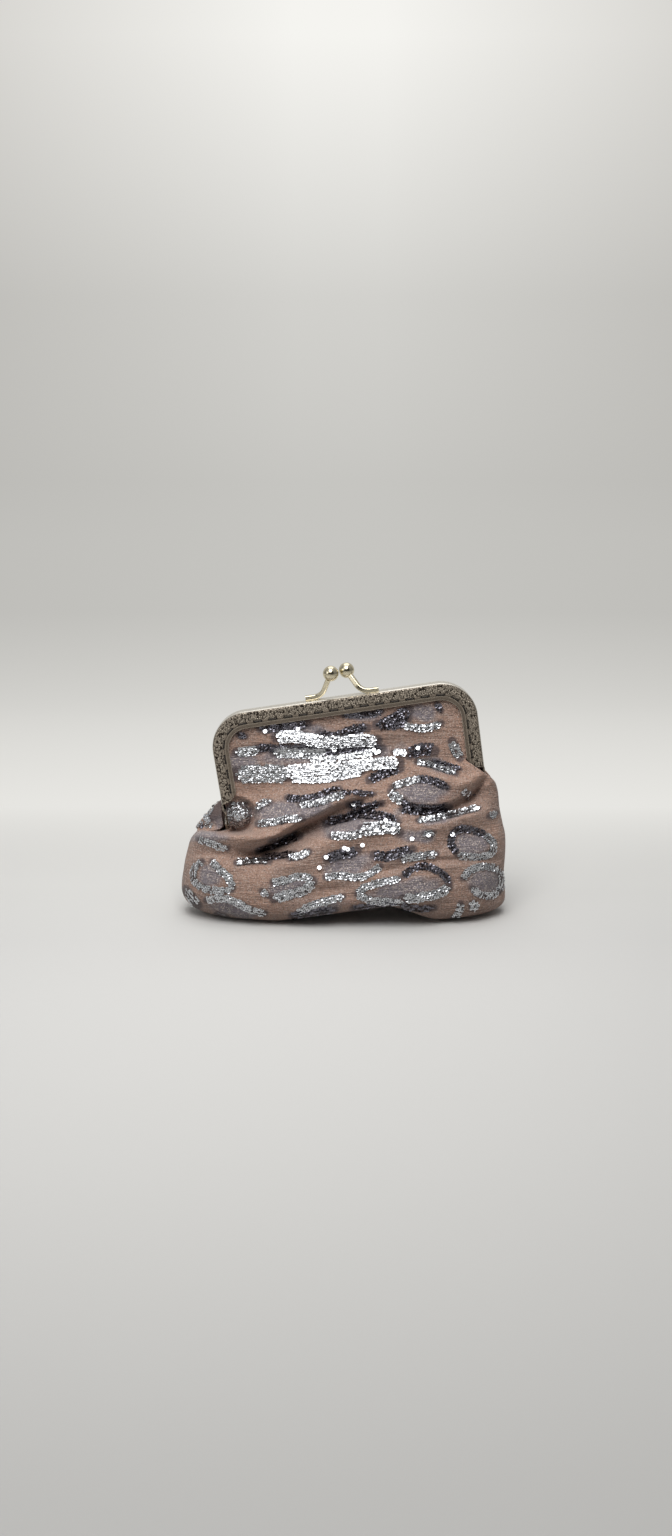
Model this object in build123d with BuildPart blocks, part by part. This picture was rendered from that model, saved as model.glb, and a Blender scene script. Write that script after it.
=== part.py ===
"""Kiss-lock clutch purse: two hinged halves of a metal frame over a soft cloth pouch.

Frame of reference: +Z up, the front of the purse looks along -Y, sizes in millimetres.
The purse stands on z = 0 with its bounding box centred on the origin.
The frame sits crooked on the slumped pouch, so it has its own planes, rolled about Y.
"""

import os
from math import cos, radians, sin

from build123d import *

# ------------------------------------------------------------------ driving sizes
# Metal frame, measured in its own plane from the hinge axis up
frame_width = 120.0
frame_height = 50.0
frame_roll = 8.4  # degrees, right end high
hinge_middle = (5.2, 0.0, 51.2)
corner_radius = 16.5
sheet = 0.65
half_depth = 4.45  # outside depth of one half
halves_gap = 0.3  # between the closed halves
face_width = 7.4
leg_width = 5.0  # inner leg of the channel
edge_round = 1.2
face_end = 9.5  # the face plate stops this far above the hinge axis
face_end_flare = 5.0
bead_width = 1.8
bead_height = 0.3

# Ears and rivets of the hinge
ear_radius = 3.6
ear_neck = 3.0  # height above the axis where the ear leaves the other half's side
joggle_top = 6.6
joggle_bottom = 5.2
ear_gap = 0.15  # between the two ears on one rivet
rivet_radius = 1.0
rivet_head_radius = 2.1
rivet_head_height = 0.6
rivet_tail_radius = 1.7
rivet_tail_height = 0.45
rivet_clearance = 0.06  # radial, the front ears turn on the rivets
rivet_end_play = 0.08

# Sewing through the face
stitch_margin = 0.6  # from the bead to the row
stitch_pitch = 3.35
hole_radius = 0.45
thread_radius = 0.26
thread_bend = 0.36

# Kiss lock
clasp_centre = 1.2  # along the frame, from its middle
ball_diameter = 7.0
ball_gap = 0.1  # between the balls, along the frame
ball_height = 11.0  # centre above the top of the frame
ball_lean = 1.8  # each ball leans over to the other half
stem_reach = 16.5  # end of the foot, from the clasp centre
stem_bend_at = 9.0
stem_bend_radius = 6.0
stem_width = 3.0
stem_thick = 2.2
stem_round = 0.5

# Cloth held in the frame
panel_cloth = 2.3

# Soft pouch, whose neck stands between the ears and inside the swing of the frame
cloth = 1.0
lining = 0.5
neck_drop = 4.5  # neck foot below the hinge axis, under the ears
neck_foot_half_depth = 9.0
rim_half_depth = 7.4
rim_corner = 5.0
neck_clearance = 0.5  # rivet tail to neck
swing_clearance = 0.35  # swinging face end to rim
rim_trim = 1.0  # height cut off the neck to leave a clean rim

# Collar, the swell of the pouch round the neck, under the swing of the faces
collar_foot_half_depth = 15.6
collar_top = 1.6  # above the hinge axis
collar_top_half_depth = 12.8
collar_end = 5.0  # half depth of its ends

# Pouch sections from under the floor up: height, roll in degrees, how far the left and the right
# end stand out past the frame's half width, half depth
pouch_base = (-3.0, 0.0, -5.0, -4.0, 8.0)
pouch_low = (4.0, 0.0, 11.5, 13.2, 23.0)
pouch_belly = (11.3, 0.2, 13.8, 14.0, 26.8)
pouch_swell = (21.2, 1.0, 13.5, 13.9, 26.1)
pouch_waist = (31.0, 2.0, 11.5, 13.6, 23.3)
pouch_slope = (38.2, 4.4, 8.5, 12.4, 19.8)
pouch_shoulder = (43.0, 7.4, 2.5, 9.5, 17.3)
rounding = 0.75  # share of a section's half length that rounds off to the seam
seam_half_width = 2.5  # blunt edge of a section at each side seam

# Underside raised where the pouch has slumped to both sides
arch_left = -28.0
arch_right = 42.0
arch_rise = 4.6

# Valleys across the front. Each section: x, height and half depth of the valley's floor,
# then height and half depth where its lower slope comes out of the cloth
main_valley = (
    (-51.0, 33.6, 19.5, 28.0, 24.5),
    (-40.0, 33.4, 12.6, 21.0, 25.5),
    (-28.0, 37.2, 9.6, 25.5, 25.5),
    (-14.0, 44.2, 9.6, 34.5, 22.5),
    (4.0, 50.0, 15.0, 43.5, 19.5),
)
side_valley = (
    (25.0, 50.5, 16.0, 46.5, 18.5),
    (38.0, 50.2, 11.0, 43.0, 18.0),
    (49.0, 52.0, 9.0, 46.0, 15.5),
    (59.0, 56.0, 12.5, 50.0, 14.5),
)
valley_reach = 45.0  # the cut runs out past the cloth
valley_brow = 0.9  # slope of a valley's roof on its way out

# Lip of slack cloth that hangs over the main valley: x, half depth and height of its middle
lip_line = (
    (-55.0, 9.5, 33.0), (-40.0, 15.2, 38.8), (-26.0, 14.3, 43.4), (-12.0, 12.0, 47.4),
    (2.0, 9.0, 48.0),
)
lip_radius = 3.7

# ------------------------------------------------------------------ shared planes and places
stitch_inset = face_width - bead_width - stitch_margin
roll_cos = cos(radians(frame_roll))
roll_sin = sin(radians(frame_roll))
inner_face = halves_gap / 2  # of a half, from the mid plane
outer_face = inner_face + half_depth
half_width = frame_width / 2
rivet_tail_seat = half_width - 2 * sheet - ear_gap - rivet_end_play
rivet_tail_end = rivet_tail_seat - rivet_tail_height
neck_half_length = rivet_tail_end - neck_clearance
rim_level = ((face_end - swing_clearance) ** 2 - rim_half_depth**2) ** 0.5


def half_plane(side):
    """Plane of one half: x along the frame, y up it, z outward. side is 1 front, -1 back."""
    along = (side * roll_cos, 0, side * roll_sin)
    return Plane(origin=hinge_middle, x_dir=along, z_dir=(0, -side, 0))


def ear_plane(side):
    """Plane across the hinge axis: x outward from the mid plane, y up, z against half_plane's x."""
    half = half_plane(side)
    return Plane(origin=half.origin, x_dir=half.z_dir, z_dir=-half.x_dir)


def middle_plane(side):
    """Mirror plane between the two arms of one half."""
    half = half_plane(side)
    return Plane(origin=half.origin, x_dir=half.z_dir, z_dir=half.x_dir)


# ------------------------------------------------------------------ sketch helpers
def arch(inset, foot, mode=Mode.ADD):
    """Add an arch to the sketch: straight arms and round corners, inset from the outline."""
    side = half_width - inset
    top = frame_height - inset
    corner = corner_radius - inset
    with BuildLine() as outline:
        FilletPolyline(
            (-side, foot), (-side, top), (side, top), (side, foot),
            radius=(0, corner, corner, 0), close=True,
        )
    make_face(outline.edges(), mode=mode)


def stitch_points():
    """Sewing holes along the face in half_plane coordinates, an even number of them."""
    side = half_width - stitch_inset
    top = frame_height - stitch_inset
    low = face_end + face_end_flare
    with BuildLine() as row:
        FilletPolyline(
            (-side, low), (-side, top), (side, top), (side, low),
            radius=corner_radius - stitch_inset,
        )
    wire = row.wire()
    count = 2 * round(wire.length / (2 * stitch_pitch))
    return [wire.position_at(index / (count - 1)) for index in range(count)]


# ------------------------------------------------------------------ frame halves
def make_ear(side, joggle):
    """One ear at the +x arm of a half: a flat tab round the rivet, stepped inward by joggle."""
    outer = half_width
    with BuildPart() as ear:
        with BuildSketch(ear_plane(side).offset(-outer - sheet)):
            with BuildLine():
                FilletPolyline(
                    (-ear_radius, 0), (-ear_radius, -ear_radius), (ear_radius, -ear_radius),
                    (ear_radius, 0), (outer_face, joggle_bottom), (outer_face, face_end),
                    (inner_face, face_end), (inner_face, ear_neck), (-ear_radius, 0),
                    radius=(0, ear_radius * 0.98, ear_radius * 0.98, 0, 1, 0, 0, 0.6),
                    close=True,
                )
            make_face()
        extrude(amount=2 * sheet + joggle + sheet)
        with BuildSketch(half_plane(side)):
            Polygon(
                (outer, face_end), (outer, joggle_top), (outer - joggle, joggle_bottom),
                (outer - joggle, -ear_radius), (outer - joggle - sheet, -ear_radius),
                (outer - joggle - sheet, joggle_bottom), (outer - sheet, joggle_top),
                (outer - sheet, face_end), align=None,
            )
        extrude(amount=outer_face + ear_radius, both=True, mode=Mode.INTERSECT)
    return ear.part


def make_half(side, joggle, hole):
    """One half of the frame: a U channel bent round an arch, with an ear on each arm."""
    plane = half_plane(side)
    outward = Axis(plane.origin, plane.z_dir)
    upward = Axis(plane.origin, plane.y_dir)
    ear = make_ear(side, joggle)
    holes = stitch_points()
    with BuildPart() as half:
        with BuildSketch(plane.offset(inner_face)):
            arch(0, face_end)
        extrude(amount=half_depth)
        rim = half.faces().sort_by(outward)[-1].edges().sort_by(upward)[1:]
        fillet(rim, radius=edge_round)
        # Inside of the channel
        with BuildSketch(plane.offset(inner_face + sheet)):
            arch(sheet, 0)
        extrude(amount=half_depth - 2 * sheet, mode=Mode.SUBTRACT)
        # Window through the face, flared where the face plate ends
        with BuildSketch(plane.offset(outer_face - sheet)):
            arch(face_width, 0)
            flare = half_width - sheet
            inner = half_width - face_width
            for end in (-1, 1):
                with BuildLine():
                    Polyline((end * flare, face_end), (end * inner, face_end),
                             (end * inner, face_end + face_end_flare))
                    RadiusArc((end * inner, face_end + face_end_flare), (end * flare, face_end),
                              end * -(flare - inner) * 1.1)
                make_face()
        extrude(amount=2 * sheet, mode=Mode.SUBTRACT)
        # Window through the inner leg
        with BuildSketch(plane.offset(inner_face)):
            arch(leg_width, 0)
        extrude(amount=sheet, mode=Mode.SUBTRACT)
        # Smooth bead round the window
        with BuildSketch(plane.offset(outer_face)):
            arch(face_width - bead_width, face_end + face_end_flare)
            arch(face_width, face_end, mode=Mode.SUBTRACT)
        extrude(amount=bead_height)
        # Sewing holes
        with BuildSketch(plane.offset(outer_face)):
            with Locations(*holes):
                Circle(hole_radius)
        extrude(amount=-sheet, mode=Mode.SUBTRACT)
        # Hinge ears
        add(ear)
        mirror(ear, about=middle_plane(side))
        with BuildSketch(ear_plane(side)):
            Circle(hole)
        extrude(amount=frame_width, both=True, mode=Mode.SUBTRACT)
    return half


def make_rivet(end):
    """Rivet through both ears of one hinge. end is 1 right, -1 left."""
    plane = ear_plane(1)
    axis_plane = Plane(origin=plane.origin, x_dir=plane.x_dir, z_dir=-end * plane.z_dir)
    with BuildPart() as rivet:
        with BuildSketch(axis_plane.offset(rivet_tail_seat)):
            Circle(rivet_radius)
        extrude(amount=half_width - rivet_tail_seat)
        with BuildSketch(axis_plane.offset(half_width)):
            Circle(rivet_head_radius)
        extrude(amount=rivet_head_height)
        with BuildSketch(axis_plane.offset(rivet_tail_end)):
            Circle(rivet_tail_radius)
        extrude(amount=rivet_tail_height)
        ends = rivet.faces().sort_by(Axis(axis_plane.origin, axis_plane.z_dir))
        fillet(ends[-1].edges(), radius=rivet_head_height * 0.9)
        fillet(ends[0].edges(), radius=rivet_tail_height * 0.9)
    return rivet


# ------------------------------------------------------------------ kiss lock
def clasp_points(side):
    """Foot end, bend and ball centre of one half's lock, in half_plane coordinates."""
    start = side * clasp_centre
    foot_level = frame_height + stem_thick / 2
    foot_depth = inner_face + half_depth / 2
    ball_at = start + (ball_diameter + ball_gap) / 2
    ball_level = frame_height + ball_height
    return (
        (start + stem_reach, foot_level, foot_depth),
        (start + stem_bend_at, foot_level, foot_depth),
        (ball_at, ball_level, -ball_lean),
    )


def make_stem(side):
    """Flat foot on the half's top, bent up and across to the ball."""
    plane = half_plane(side)
    foot, bend, ball = clasp_points(side)
    with BuildPart() as stem:
        with BuildLine(plane) as path:
            FilletPolyline(foot, bend, ball, radius=stem_bend_radius)
        start = Plane(origin=path.line @ 0, x_dir=plane.z_dir, z_dir=path.line % 0)
        with BuildSketch(start):
            RectangleRounded(stem_width, stem_thick, stem_round)
        sweep()
    return stem


def make_ball(side, stem):
    """Ball of the lock, centred on the stem's end and bored to seat it."""
    centre = half_plane(side).from_local_coords(clasp_points(side)[2])
    seat = Plane(stem.faces().sort_by_distance(centre)[0])
    with BuildPart() as ball:
        with Locations(seat):
            Sphere(ball_diameter / 2)
        add(stem.part, mode=Mode.SUBTRACT)
    return ball


# ------------------------------------------------------------------ sewing and panels
def make_stitching(side):
    """Running stitch through the face: one bar from hole to hole, with its two legs."""
    plane = half_plane(side)
    points = stitch_points()
    low = outer_face - sheet
    high = outer_face + thread_radius
    with BuildPart() as stitching:
        for near, far in zip(points[0::2], points[1::2]):
            with BuildLine(plane) as path:
                FilletPolyline(
                    (near.X, near.Y, low), (near.X, near.Y, high),
                    (far.X, far.Y, high), (far.X, far.Y, low), radius=thread_bend,
                )
            with BuildSketch(Plane(origin=path.line @ 0, z_dir=path.line % 0)):
                Circle(thread_radius)
            sweep()
    return stitching


def make_panel(side, inner, thick):
    """Cloth held in the channel, from inner out, down to the face end."""
    with BuildPart() as panel:
        with BuildSketch(half_plane(side).offset(inner)):
            arch(sheet, face_end)
        extrude(amount=thick)
    return panel


# ------------------------------------------------------------------ pouch
def neck_plane(level):
    """Plane across the neck, level above the hinge axis, x along the frame."""
    half = half_plane(1)
    return Plane(origin=half.from_local_coords((0, level, 0)), x_dir=half.x_dir, z_dir=half.y_dir)


def neck_half_depth(level):
    """Outside half depth of the neck, which narrows in a straight line up to the rim."""
    share = (level + neck_drop) / (rim_level + neck_drop)
    return neck_foot_half_depth + (rim_half_depth - neck_foot_half_depth) * share


def soft_section(plane, half_length, half_depth, corner, end):
    """Section on a plane: blunt ends, joined to the front and the back by quarter ellipses."""
    side = half_length - corner
    quarters = ((side, end, 0), (-side, end, 90), (-side, -end, 180), (side, -end, 270))
    with BuildSketch(plane) as section:
        with BuildLine():
            for x, y, start in quarters:
                EllipticalCenterArc(
                    (x, y), corner, half_depth - end, start_angle=start, arc_size=90,
                )
            for across in (half_depth, -half_depth):
                Line((-side, across), (side, across))
            for along in (half_length, -half_length):
                Line((along, -end), (along, end))
        make_face()
    return section.sketch


def make_valley(sections, inset):
    """Room of one valley in front of its cloth, between its roof and its lower slope."""
    with BuildPart() as valley:
        for x, height, depth, low_height, low_depth in sections:
            with BuildSketch(Plane(origin=(x, 0, 0), x_dir=(0, -1, 0), z_dir=(-1, 0, 0))):
                Polygon(
                    (depth, height), (low_depth, low_height), (valley_reach, low_height),
                    (valley_reach, height + valley_brow * (valley_reach - depth)), align=None,
                )
                if inset > 0:
                    offset(amount=inset, kind=Kind.INTERSECTION)
        loft()
    return valley.part


def swell_sections(inset):
    """Sections of the pouch from the floor up to the foot of the collar and its top."""
    levels = (
        pouch_base, pouch_low, pouch_belly, pouch_swell, pouch_waist, pouch_slope, pouch_shoulder,
    )
    found = []
    for height, roll, past_left, past_right, depth in levels:
        half_length = half_width + (past_left + past_right) / 2 - inset
        lift = inset * max(0, 1 - height / pouch_belly[0])
        at = Plane.XY.offset(height + lift).rotated((0, -roll, 0))
        middle = at.from_local_coords(((past_right - past_left) / 2, 0))
        found.append(soft_section(
            at.shift_origin(middle), half_length, depth - inset,
            rounding * half_length, seam_half_width - inset,
        ))
    half_length = neck_half_length - inset
    for level, depth in ((-neck_drop, collar_foot_half_depth), (collar_top, collar_top_half_depth)):
        found.append(soft_section(
            neck_plane(level - inset), half_length, depth - inset,
            rounding * half_length, collar_end - inset,
        ))
    return found


def make_block(inset):
    """Solid of the slumped pouch inside the given inset, from the base to just past the rim."""
    sections = swell_sections(inset)
    with BuildPart() as block:
        loft(sections[:-1])
        loft(sections[-2:])
        add(make_valley(main_valley, inset), mode=Mode.SUBTRACT)
        add(make_valley(side_valley, inset), mode=Mode.SUBTRACT)
        with BuildLine() as lip:
            Spline(*[(x, -depth, height) for x, depth, height in lip_line])
        with BuildSketch(Plane(origin=lip.line @ 0, z_dir=lip.line % 0)):
            Circle(lip_radius - inset)
        sweep()
        # Neck from the collar to just past the rim
        for level in (inset - neck_drop, rim_level + rim_trim):
            with BuildSketch(neck_plane(level)):
                RectangleRounded(
                    2 * (neck_half_length - inset), 2 * (neck_half_depth(level) - inset),
                    rim_corner - inset,
                )
        loft()
        split(bisect_by=Plane.XY.offset(inset), keep=Keep.TOP)
        with BuildSketch(Plane.XZ):
            with BuildLine():
                ThreePointArc(
                    (arch_left, 0), ((arch_left + arch_right) / 2, arch_rise), (arch_right, 0),
                )
                Polyline(
                    (arch_right, 0), (arch_right, -arch_rise), (arch_left, -arch_rise),
                    (arch_left, 0),
                )
            make_face()
            if inset > 0:
                offset(amount=inset)
        extrude(amount=valley_reach, both=True, mode=Mode.SUBTRACT)
    return block.part


def make_wall(outer, inner, keep):
    """Half of the pouch wall between two blocks, trimmed at the rim and cut at the side seams."""
    with BuildPart() as wall:
        add(outer)
        add(inner, mode=Mode.SUBTRACT)
        split(bisect_by=neck_plane(rim_level), keep=Keep.BOTTOM)
        split(bisect_by=Plane.XZ, keep=keep)
    return wall


# ------------------------------------------------------------------ assembly
def build_all():
    """Every piece of the purse by node name."""
    back_ear_inset = 0.0
    front_ear_inset = sheet + ear_gap
    pieces = {
        "front_frame": make_half(1, front_ear_inset, rivet_radius + rivet_clearance),
        "back_frame": make_half(-1, back_ear_inset, rivet_radius),
        "left_hinge_rivet": make_rivet(-1),
        "right_hinge_rivet": make_rivet(1),
    }
    cloth_from = outer_face - sheet - panel_cloth
    lining_from = inner_face + sheet
    for name, side in (("front", 1), ("back", -1)):
        stem = make_stem(side)
        pieces[name + "_clasp_stem"] = stem
        pieces[name + "_clasp_ball"] = make_ball(side, stem)
        pieces[name + "_stitching"] = make_stitching(side)
        pieces[name + "_outer_panel"] = make_panel(side, cloth_from, panel_cloth)
        pieces[name + "_lining_panel"] = make_panel(side, lining_from, cloth_from - lining_from)
    outside = make_block(0)
    between = make_block(cloth)
    inside = make_block(cloth + lining)
    for name, keep in (("front", Keep.TOP), ("back", Keep.BOTTOM)):
        pieces[name + "_pouch_cloth"] = make_wall(outside, between, keep)
        pieces[name + "_pouch_lining"] = make_wall(between, inside, keep)
    return pieces


os.makedirs("parts", exist_ok=True)
for node_name, piece in build_all().items():
    piece.part.label = node_name
    export_step(piece.part, "parts/" + node_name + ".step")
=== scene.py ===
"""A kiss-lock clutch purse: a slumped, sequinned pouch on a pebbled metal frame, over its CAD model."""

import logging
import math
import random
from dataclasses import dataclass, field
from enum import Enum

import bmesh
import bpy
import numpy as np
from mathutils import Matrix, Vector, noise
from mathutils.bvhtree import BVHTree


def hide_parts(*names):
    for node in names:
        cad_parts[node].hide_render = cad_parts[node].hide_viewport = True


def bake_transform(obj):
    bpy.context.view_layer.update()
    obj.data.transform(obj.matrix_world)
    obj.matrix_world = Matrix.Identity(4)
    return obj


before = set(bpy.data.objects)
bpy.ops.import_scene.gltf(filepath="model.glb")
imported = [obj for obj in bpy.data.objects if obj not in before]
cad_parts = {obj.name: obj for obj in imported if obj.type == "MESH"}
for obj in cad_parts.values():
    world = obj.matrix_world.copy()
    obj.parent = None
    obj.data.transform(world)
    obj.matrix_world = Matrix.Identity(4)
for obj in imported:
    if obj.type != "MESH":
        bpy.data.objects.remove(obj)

LOG = logging.getLogger("purse")
MM = 0.001


class Side(Enum):
    """The two halves of the purse. The value is the sign of their y, with the front towards -Y."""

    FRONT = -1
    BACK = 1

    @property
    def word(self) -> str:
        """The half's name in the names of nodes and pieces."""
        return self.name.lower()


class Tone(Enum):
    """The two platings of the sequins."""

    SILVER = "silver"
    GUNMETAL = "gunmetal"


# ---------------------------------------------------------------- small tools


def linear(code: str) -> tuple[float, float, float, float]:
    """Turns an sRGB hex colour into linear RGBA.

    Args:
        code: a colour such as "#a08070".

    Returns:
        Linear red, green, blue and an alpha of 1.
    """
    parts = [int(code[i : i + 2], 16) / 255 for i in (1, 3, 5)]
    return (*(c / 12.92 if c <= 0.04045 else ((c + 0.055) / 1.055) ** 2.4 for c in parts), 1.0)


def add_node(
    tree: bpy.types.NodeTree,
    kind: str,
    inputs: dict | None = None,
    stops: list | None = None,
    **settings,
) -> bpy.types.Node:
    """Adds a node with its settings, values and links.

    Args:
        tree: the node tree.
        kind: the node's type name.
        inputs: socket names or numbers, each with a value or with the output that feeds it.
        stops: a colour ramp's positions and linear colours.
        settings: properties of the node.

    Returns:
        The new node.
    """
    node = tree.nodes.new(kind)
    for name, value in settings.items():
        setattr(node, name, value)
    for key, value in (inputs or {}).items():
        if isinstance(value, bpy.types.NodeSocket):
            tree.links.new(value, node.inputs[key])
        else:
            node.inputs[key].default_value = value
    if stops:
        elements = node.color_ramp.elements
        while len(elements) < len(stops):
            elements.new(0.5)
        for element, (place, colour) in zip(elements, stops):
            element.position = place
            element.color = colour
    return node


def calculate(
    tree: bpy.types.NodeTree,
    operation: str,
    *values: float | bpy.types.NodeSocket,
) -> bpy.types.NodeSocket:
    """Adds a Math node and gives its result."""
    return add_node(tree, "ShaderNodeMath", dict(enumerate(values)), operation=operation).outputs[0]


def spread(
    tree: bpy.types.NodeTree,
    value: bpy.types.NodeSocket,
    before: tuple[float, float],
    after: tuple[float, float] = (0.0, 1.0),
) -> bpy.types.NodeSocket:
    """Adds a Map Range node that takes one range to another, and gives its result."""
    limits = {1: before[0], 2: before[1], 3: after[0], 4: after[1]}
    return add_node(tree, "ShaderNodeMapRange", {0: value, **limits}).outputs[0]


def blend_colours(
    tree: bpy.types.NodeTree,
    share: float | bpy.types.NodeSocket,
    first: tuple | bpy.types.NodeSocket,
    second: tuple | bpy.types.NodeSocket,
    **settings: str,
) -> bpy.types.NodeSocket:
    """Adds a Mix node for colours and gives its result."""
    sockets = {0: share, 6: first, 7: second}
    return add_node(tree, "ShaderNodeMix", sockets, data_type="RGBA", **settings).outputs[2]


def ramp(tree: bpy.types.NodeTree, value: bpy.types.NodeSocket, stops: list) -> bpy.types.NodeSocket:
    """Adds a colour ramp and gives its colour."""
    return add_node(tree, "ShaderNodeValToRGB", {0: value}, stops=stops).outputs[0]


def new_material(name: str) -> tuple[bpy.types.Material, bpy.types.NodeTree, bpy.types.Node]:
    """Makes an empty node material.

    Args:
        name: the material's name.

    Returns:
        The material, its node tree and its output node.
    """
    material = bpy.data.materials.new(name)
    material.use_nodes = True
    material.node_tree.nodes.clear()
    return material, material.node_tree, add_node(material.node_tree, "ShaderNodeOutputMaterial")


def new_piece(name: str, bm: bmesh.types.BMesh, materials: list[bpy.types.Material]) -> bpy.types.Object:
    """Turns a bmesh into a smooth-shaded object at the origin.

    Args:
        name: the piece's name.
        bm: its mesh, which is freed.
        materials: what goes into its material slots.

    Returns:
        The new object, linked to the scene.
    """
    for face in bm.faces:
        face.smooth = True
    mesh = bpy.data.meshes.new(name)
    bm.to_mesh(mesh)
    bm.free()
    for material in materials:
        mesh.materials.append(material)
    piece = bpy.data.objects.new(name, mesh)
    bpy.context.scene.collection.objects.link(piece)
    return piece


def smooth_line(points: np.ndarray, per_span: int = 10) -> np.ndarray:
    """Runs a Catmull-Rom line through points.

    Args:
        points: an (n, k) array.
        per_span: samples from each point to the next.

    Returns:
        The sampled line, ends included.
    """
    points = np.asarray(points, float)
    padded = np.vstack([2 * points[0] - points[1], points, 2 * points[-1] - points[-2]])
    spans = []
    for i in range(len(points) - 1):
        a, b, c, d = padded[i : i + 4]
        t = np.linspace(0, 1, per_span, endpoint=False)[:, None]
        bend = (2 * a - 5 * b + 4 * c - d) * t**2
        twist = (3 * b - a - 3 * c + d) * t**3
        spans.append(0.5 * (2 * b + (c - a) * t + bend + twist))
    return np.vstack([*spans, points[-1:]])


def smoothstep(x: np.ndarray, low: float, high: float) -> np.ndarray:
    """Rises smoothly from 0 at low to 1 at high."""
    t = np.clip((x - low) / (high - low), 0, 1)
    return t * t * (3 - 2 * t)


# ---------------------------------------------------------------- where things are


@dataclass(frozen=True)
class Eye:
    """The eye that looks at the purse, and the front elevation it sees, in mm.

    Places across and up in that elevation are measured in the plane through the aim point, square to
    the view.
    """

    aim: tuple[float, float, float] = (-3.7, 0.0, 67.9)
    elevation: float = 12.0
    distance: float = 527.0
    lens: float = 27.2
    sensor: float = 36.0

    def axes(self) -> tuple[np.ndarray, np.ndarray, np.ndarray]:
        """The view's right, up and forward unit vectors."""
        e = math.radians(self.elevation)
        right = np.array([1.0, 0, 0])
        up = np.array([0, math.sin(e), math.cos(e)])
        return right, up, np.array([0, math.cos(e), -math.sin(e)])

    def place(self) -> np.ndarray:
        """Where the eye is, in mm."""
        return np.array(self.aim) - self.axes()[2] * self.distance

    def see(self, points: np.ndarray) -> tuple[np.ndarray, np.ndarray]:
        """Projects points to the front elevation.

        Args:
            points: an (n, 3) array in mm.

        Returns:
            How far across and how far up each point is seen, in mm.
        """
        right, up, forward = self.axes()
        away = points - self.place()
        depth = away @ forward
        rise = float(np.array(self.aim) @ up)
        return self.aim[0] + away @ right * self.distance / depth, rise + away @ up * self.distance / depth

    def ray(self, across: float, rise: float) -> Vector:
        """The direction in which the eye sees a place of the front elevation."""
        right, up, forward = self.axes()
        middle = float(np.array(self.aim) @ up)
        way = forward * self.distance + right * (across - self.aim[0]) + up * (rise - middle)
        return Vector(way).normalized()

    def make_camera(self) -> None:
        """Puts the scene's camera at the eye."""
        data = bpy.data.cameras.new("camera")
        data.lens = self.lens
        data.sensor_width = self.sensor
        data.clip_start = 0.01
        camera = bpy.data.objects.new("camera", data)
        camera.location = Vector(self.place()) * MM
        camera.rotation_euler = (math.radians(90 - self.elevation), 0, 0)
        bpy.context.scene.collection.objects.link(camera)
        bpy.context.scene.camera = camera


@dataclass(frozen=True)
class ArchPlan:
    """The metal frame's arch: where its hinge is, how it leans and how large it is, in mm."""

    hinge: tuple[float, float, float] = (5.2, 0.0, 51.2)
    roll: float = 8.4
    half_width: float = 60.0
    height: float = 50.0
    corner: float = 16.5

    def axes(self) -> tuple[np.ndarray, np.ndarray]:
        """Unit vectors along the arch and up it."""
        roll = math.radians(self.roll)
        return np.array([math.cos(roll), 0, math.sin(roll)]), np.array([-math.sin(roll), 0, math.cos(roll)])

    def point(self, along: float, up: float) -> np.ndarray:
        """The point so far along and up the arch's middle plane."""
        u, v = self.axes()
        return np.array(self.hinge) + along * u + up * v

    def measure(self, points: np.ndarray) -> tuple[np.ndarray, np.ndarray]:
        """How far along and up the arch each point is."""
        u, v = self.axes()
        away = points - np.array(self.hinge)
        return away @ u, away @ v

    def inset(self, points: np.ndarray) -> np.ndarray:
        """How far inside the arch's outer line each point is, negative outside it."""
        along, up = self.measure(points)
        side, top = np.abs(along) - (self.half_width - self.corner), up - (self.height - self.corner)
        outside = np.hypot(np.maximum(side, 0), np.maximum(top, 0)) + np.minimum(np.maximum(side, top), 0)
        return self.corner - outside

    def half_span(self, up: float, inset: float) -> float:
        """Half the arch's width at a height, measured so far inside its outer line."""
        top = up - (self.height - self.corner)
        if top <= 0:
            return self.half_width - inset
        radius = self.corner - inset
        return self.half_width - self.corner + math.sqrt(max(radius**2 - top**2, 0))

    def blend_ends(self, lower: float = 0.0) -> tuple[Vector, Vector]:
        """Two points on the arch's middle line below the hinge, in metres: one so far down as lower, the
        other 25 mm further down.
        """
        return Vector(self.point(0, -25.0 - lower)) * MM, Vector(self.point(0, -lower)) * MM


# ---------------------------------------------------------------- finishes


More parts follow.
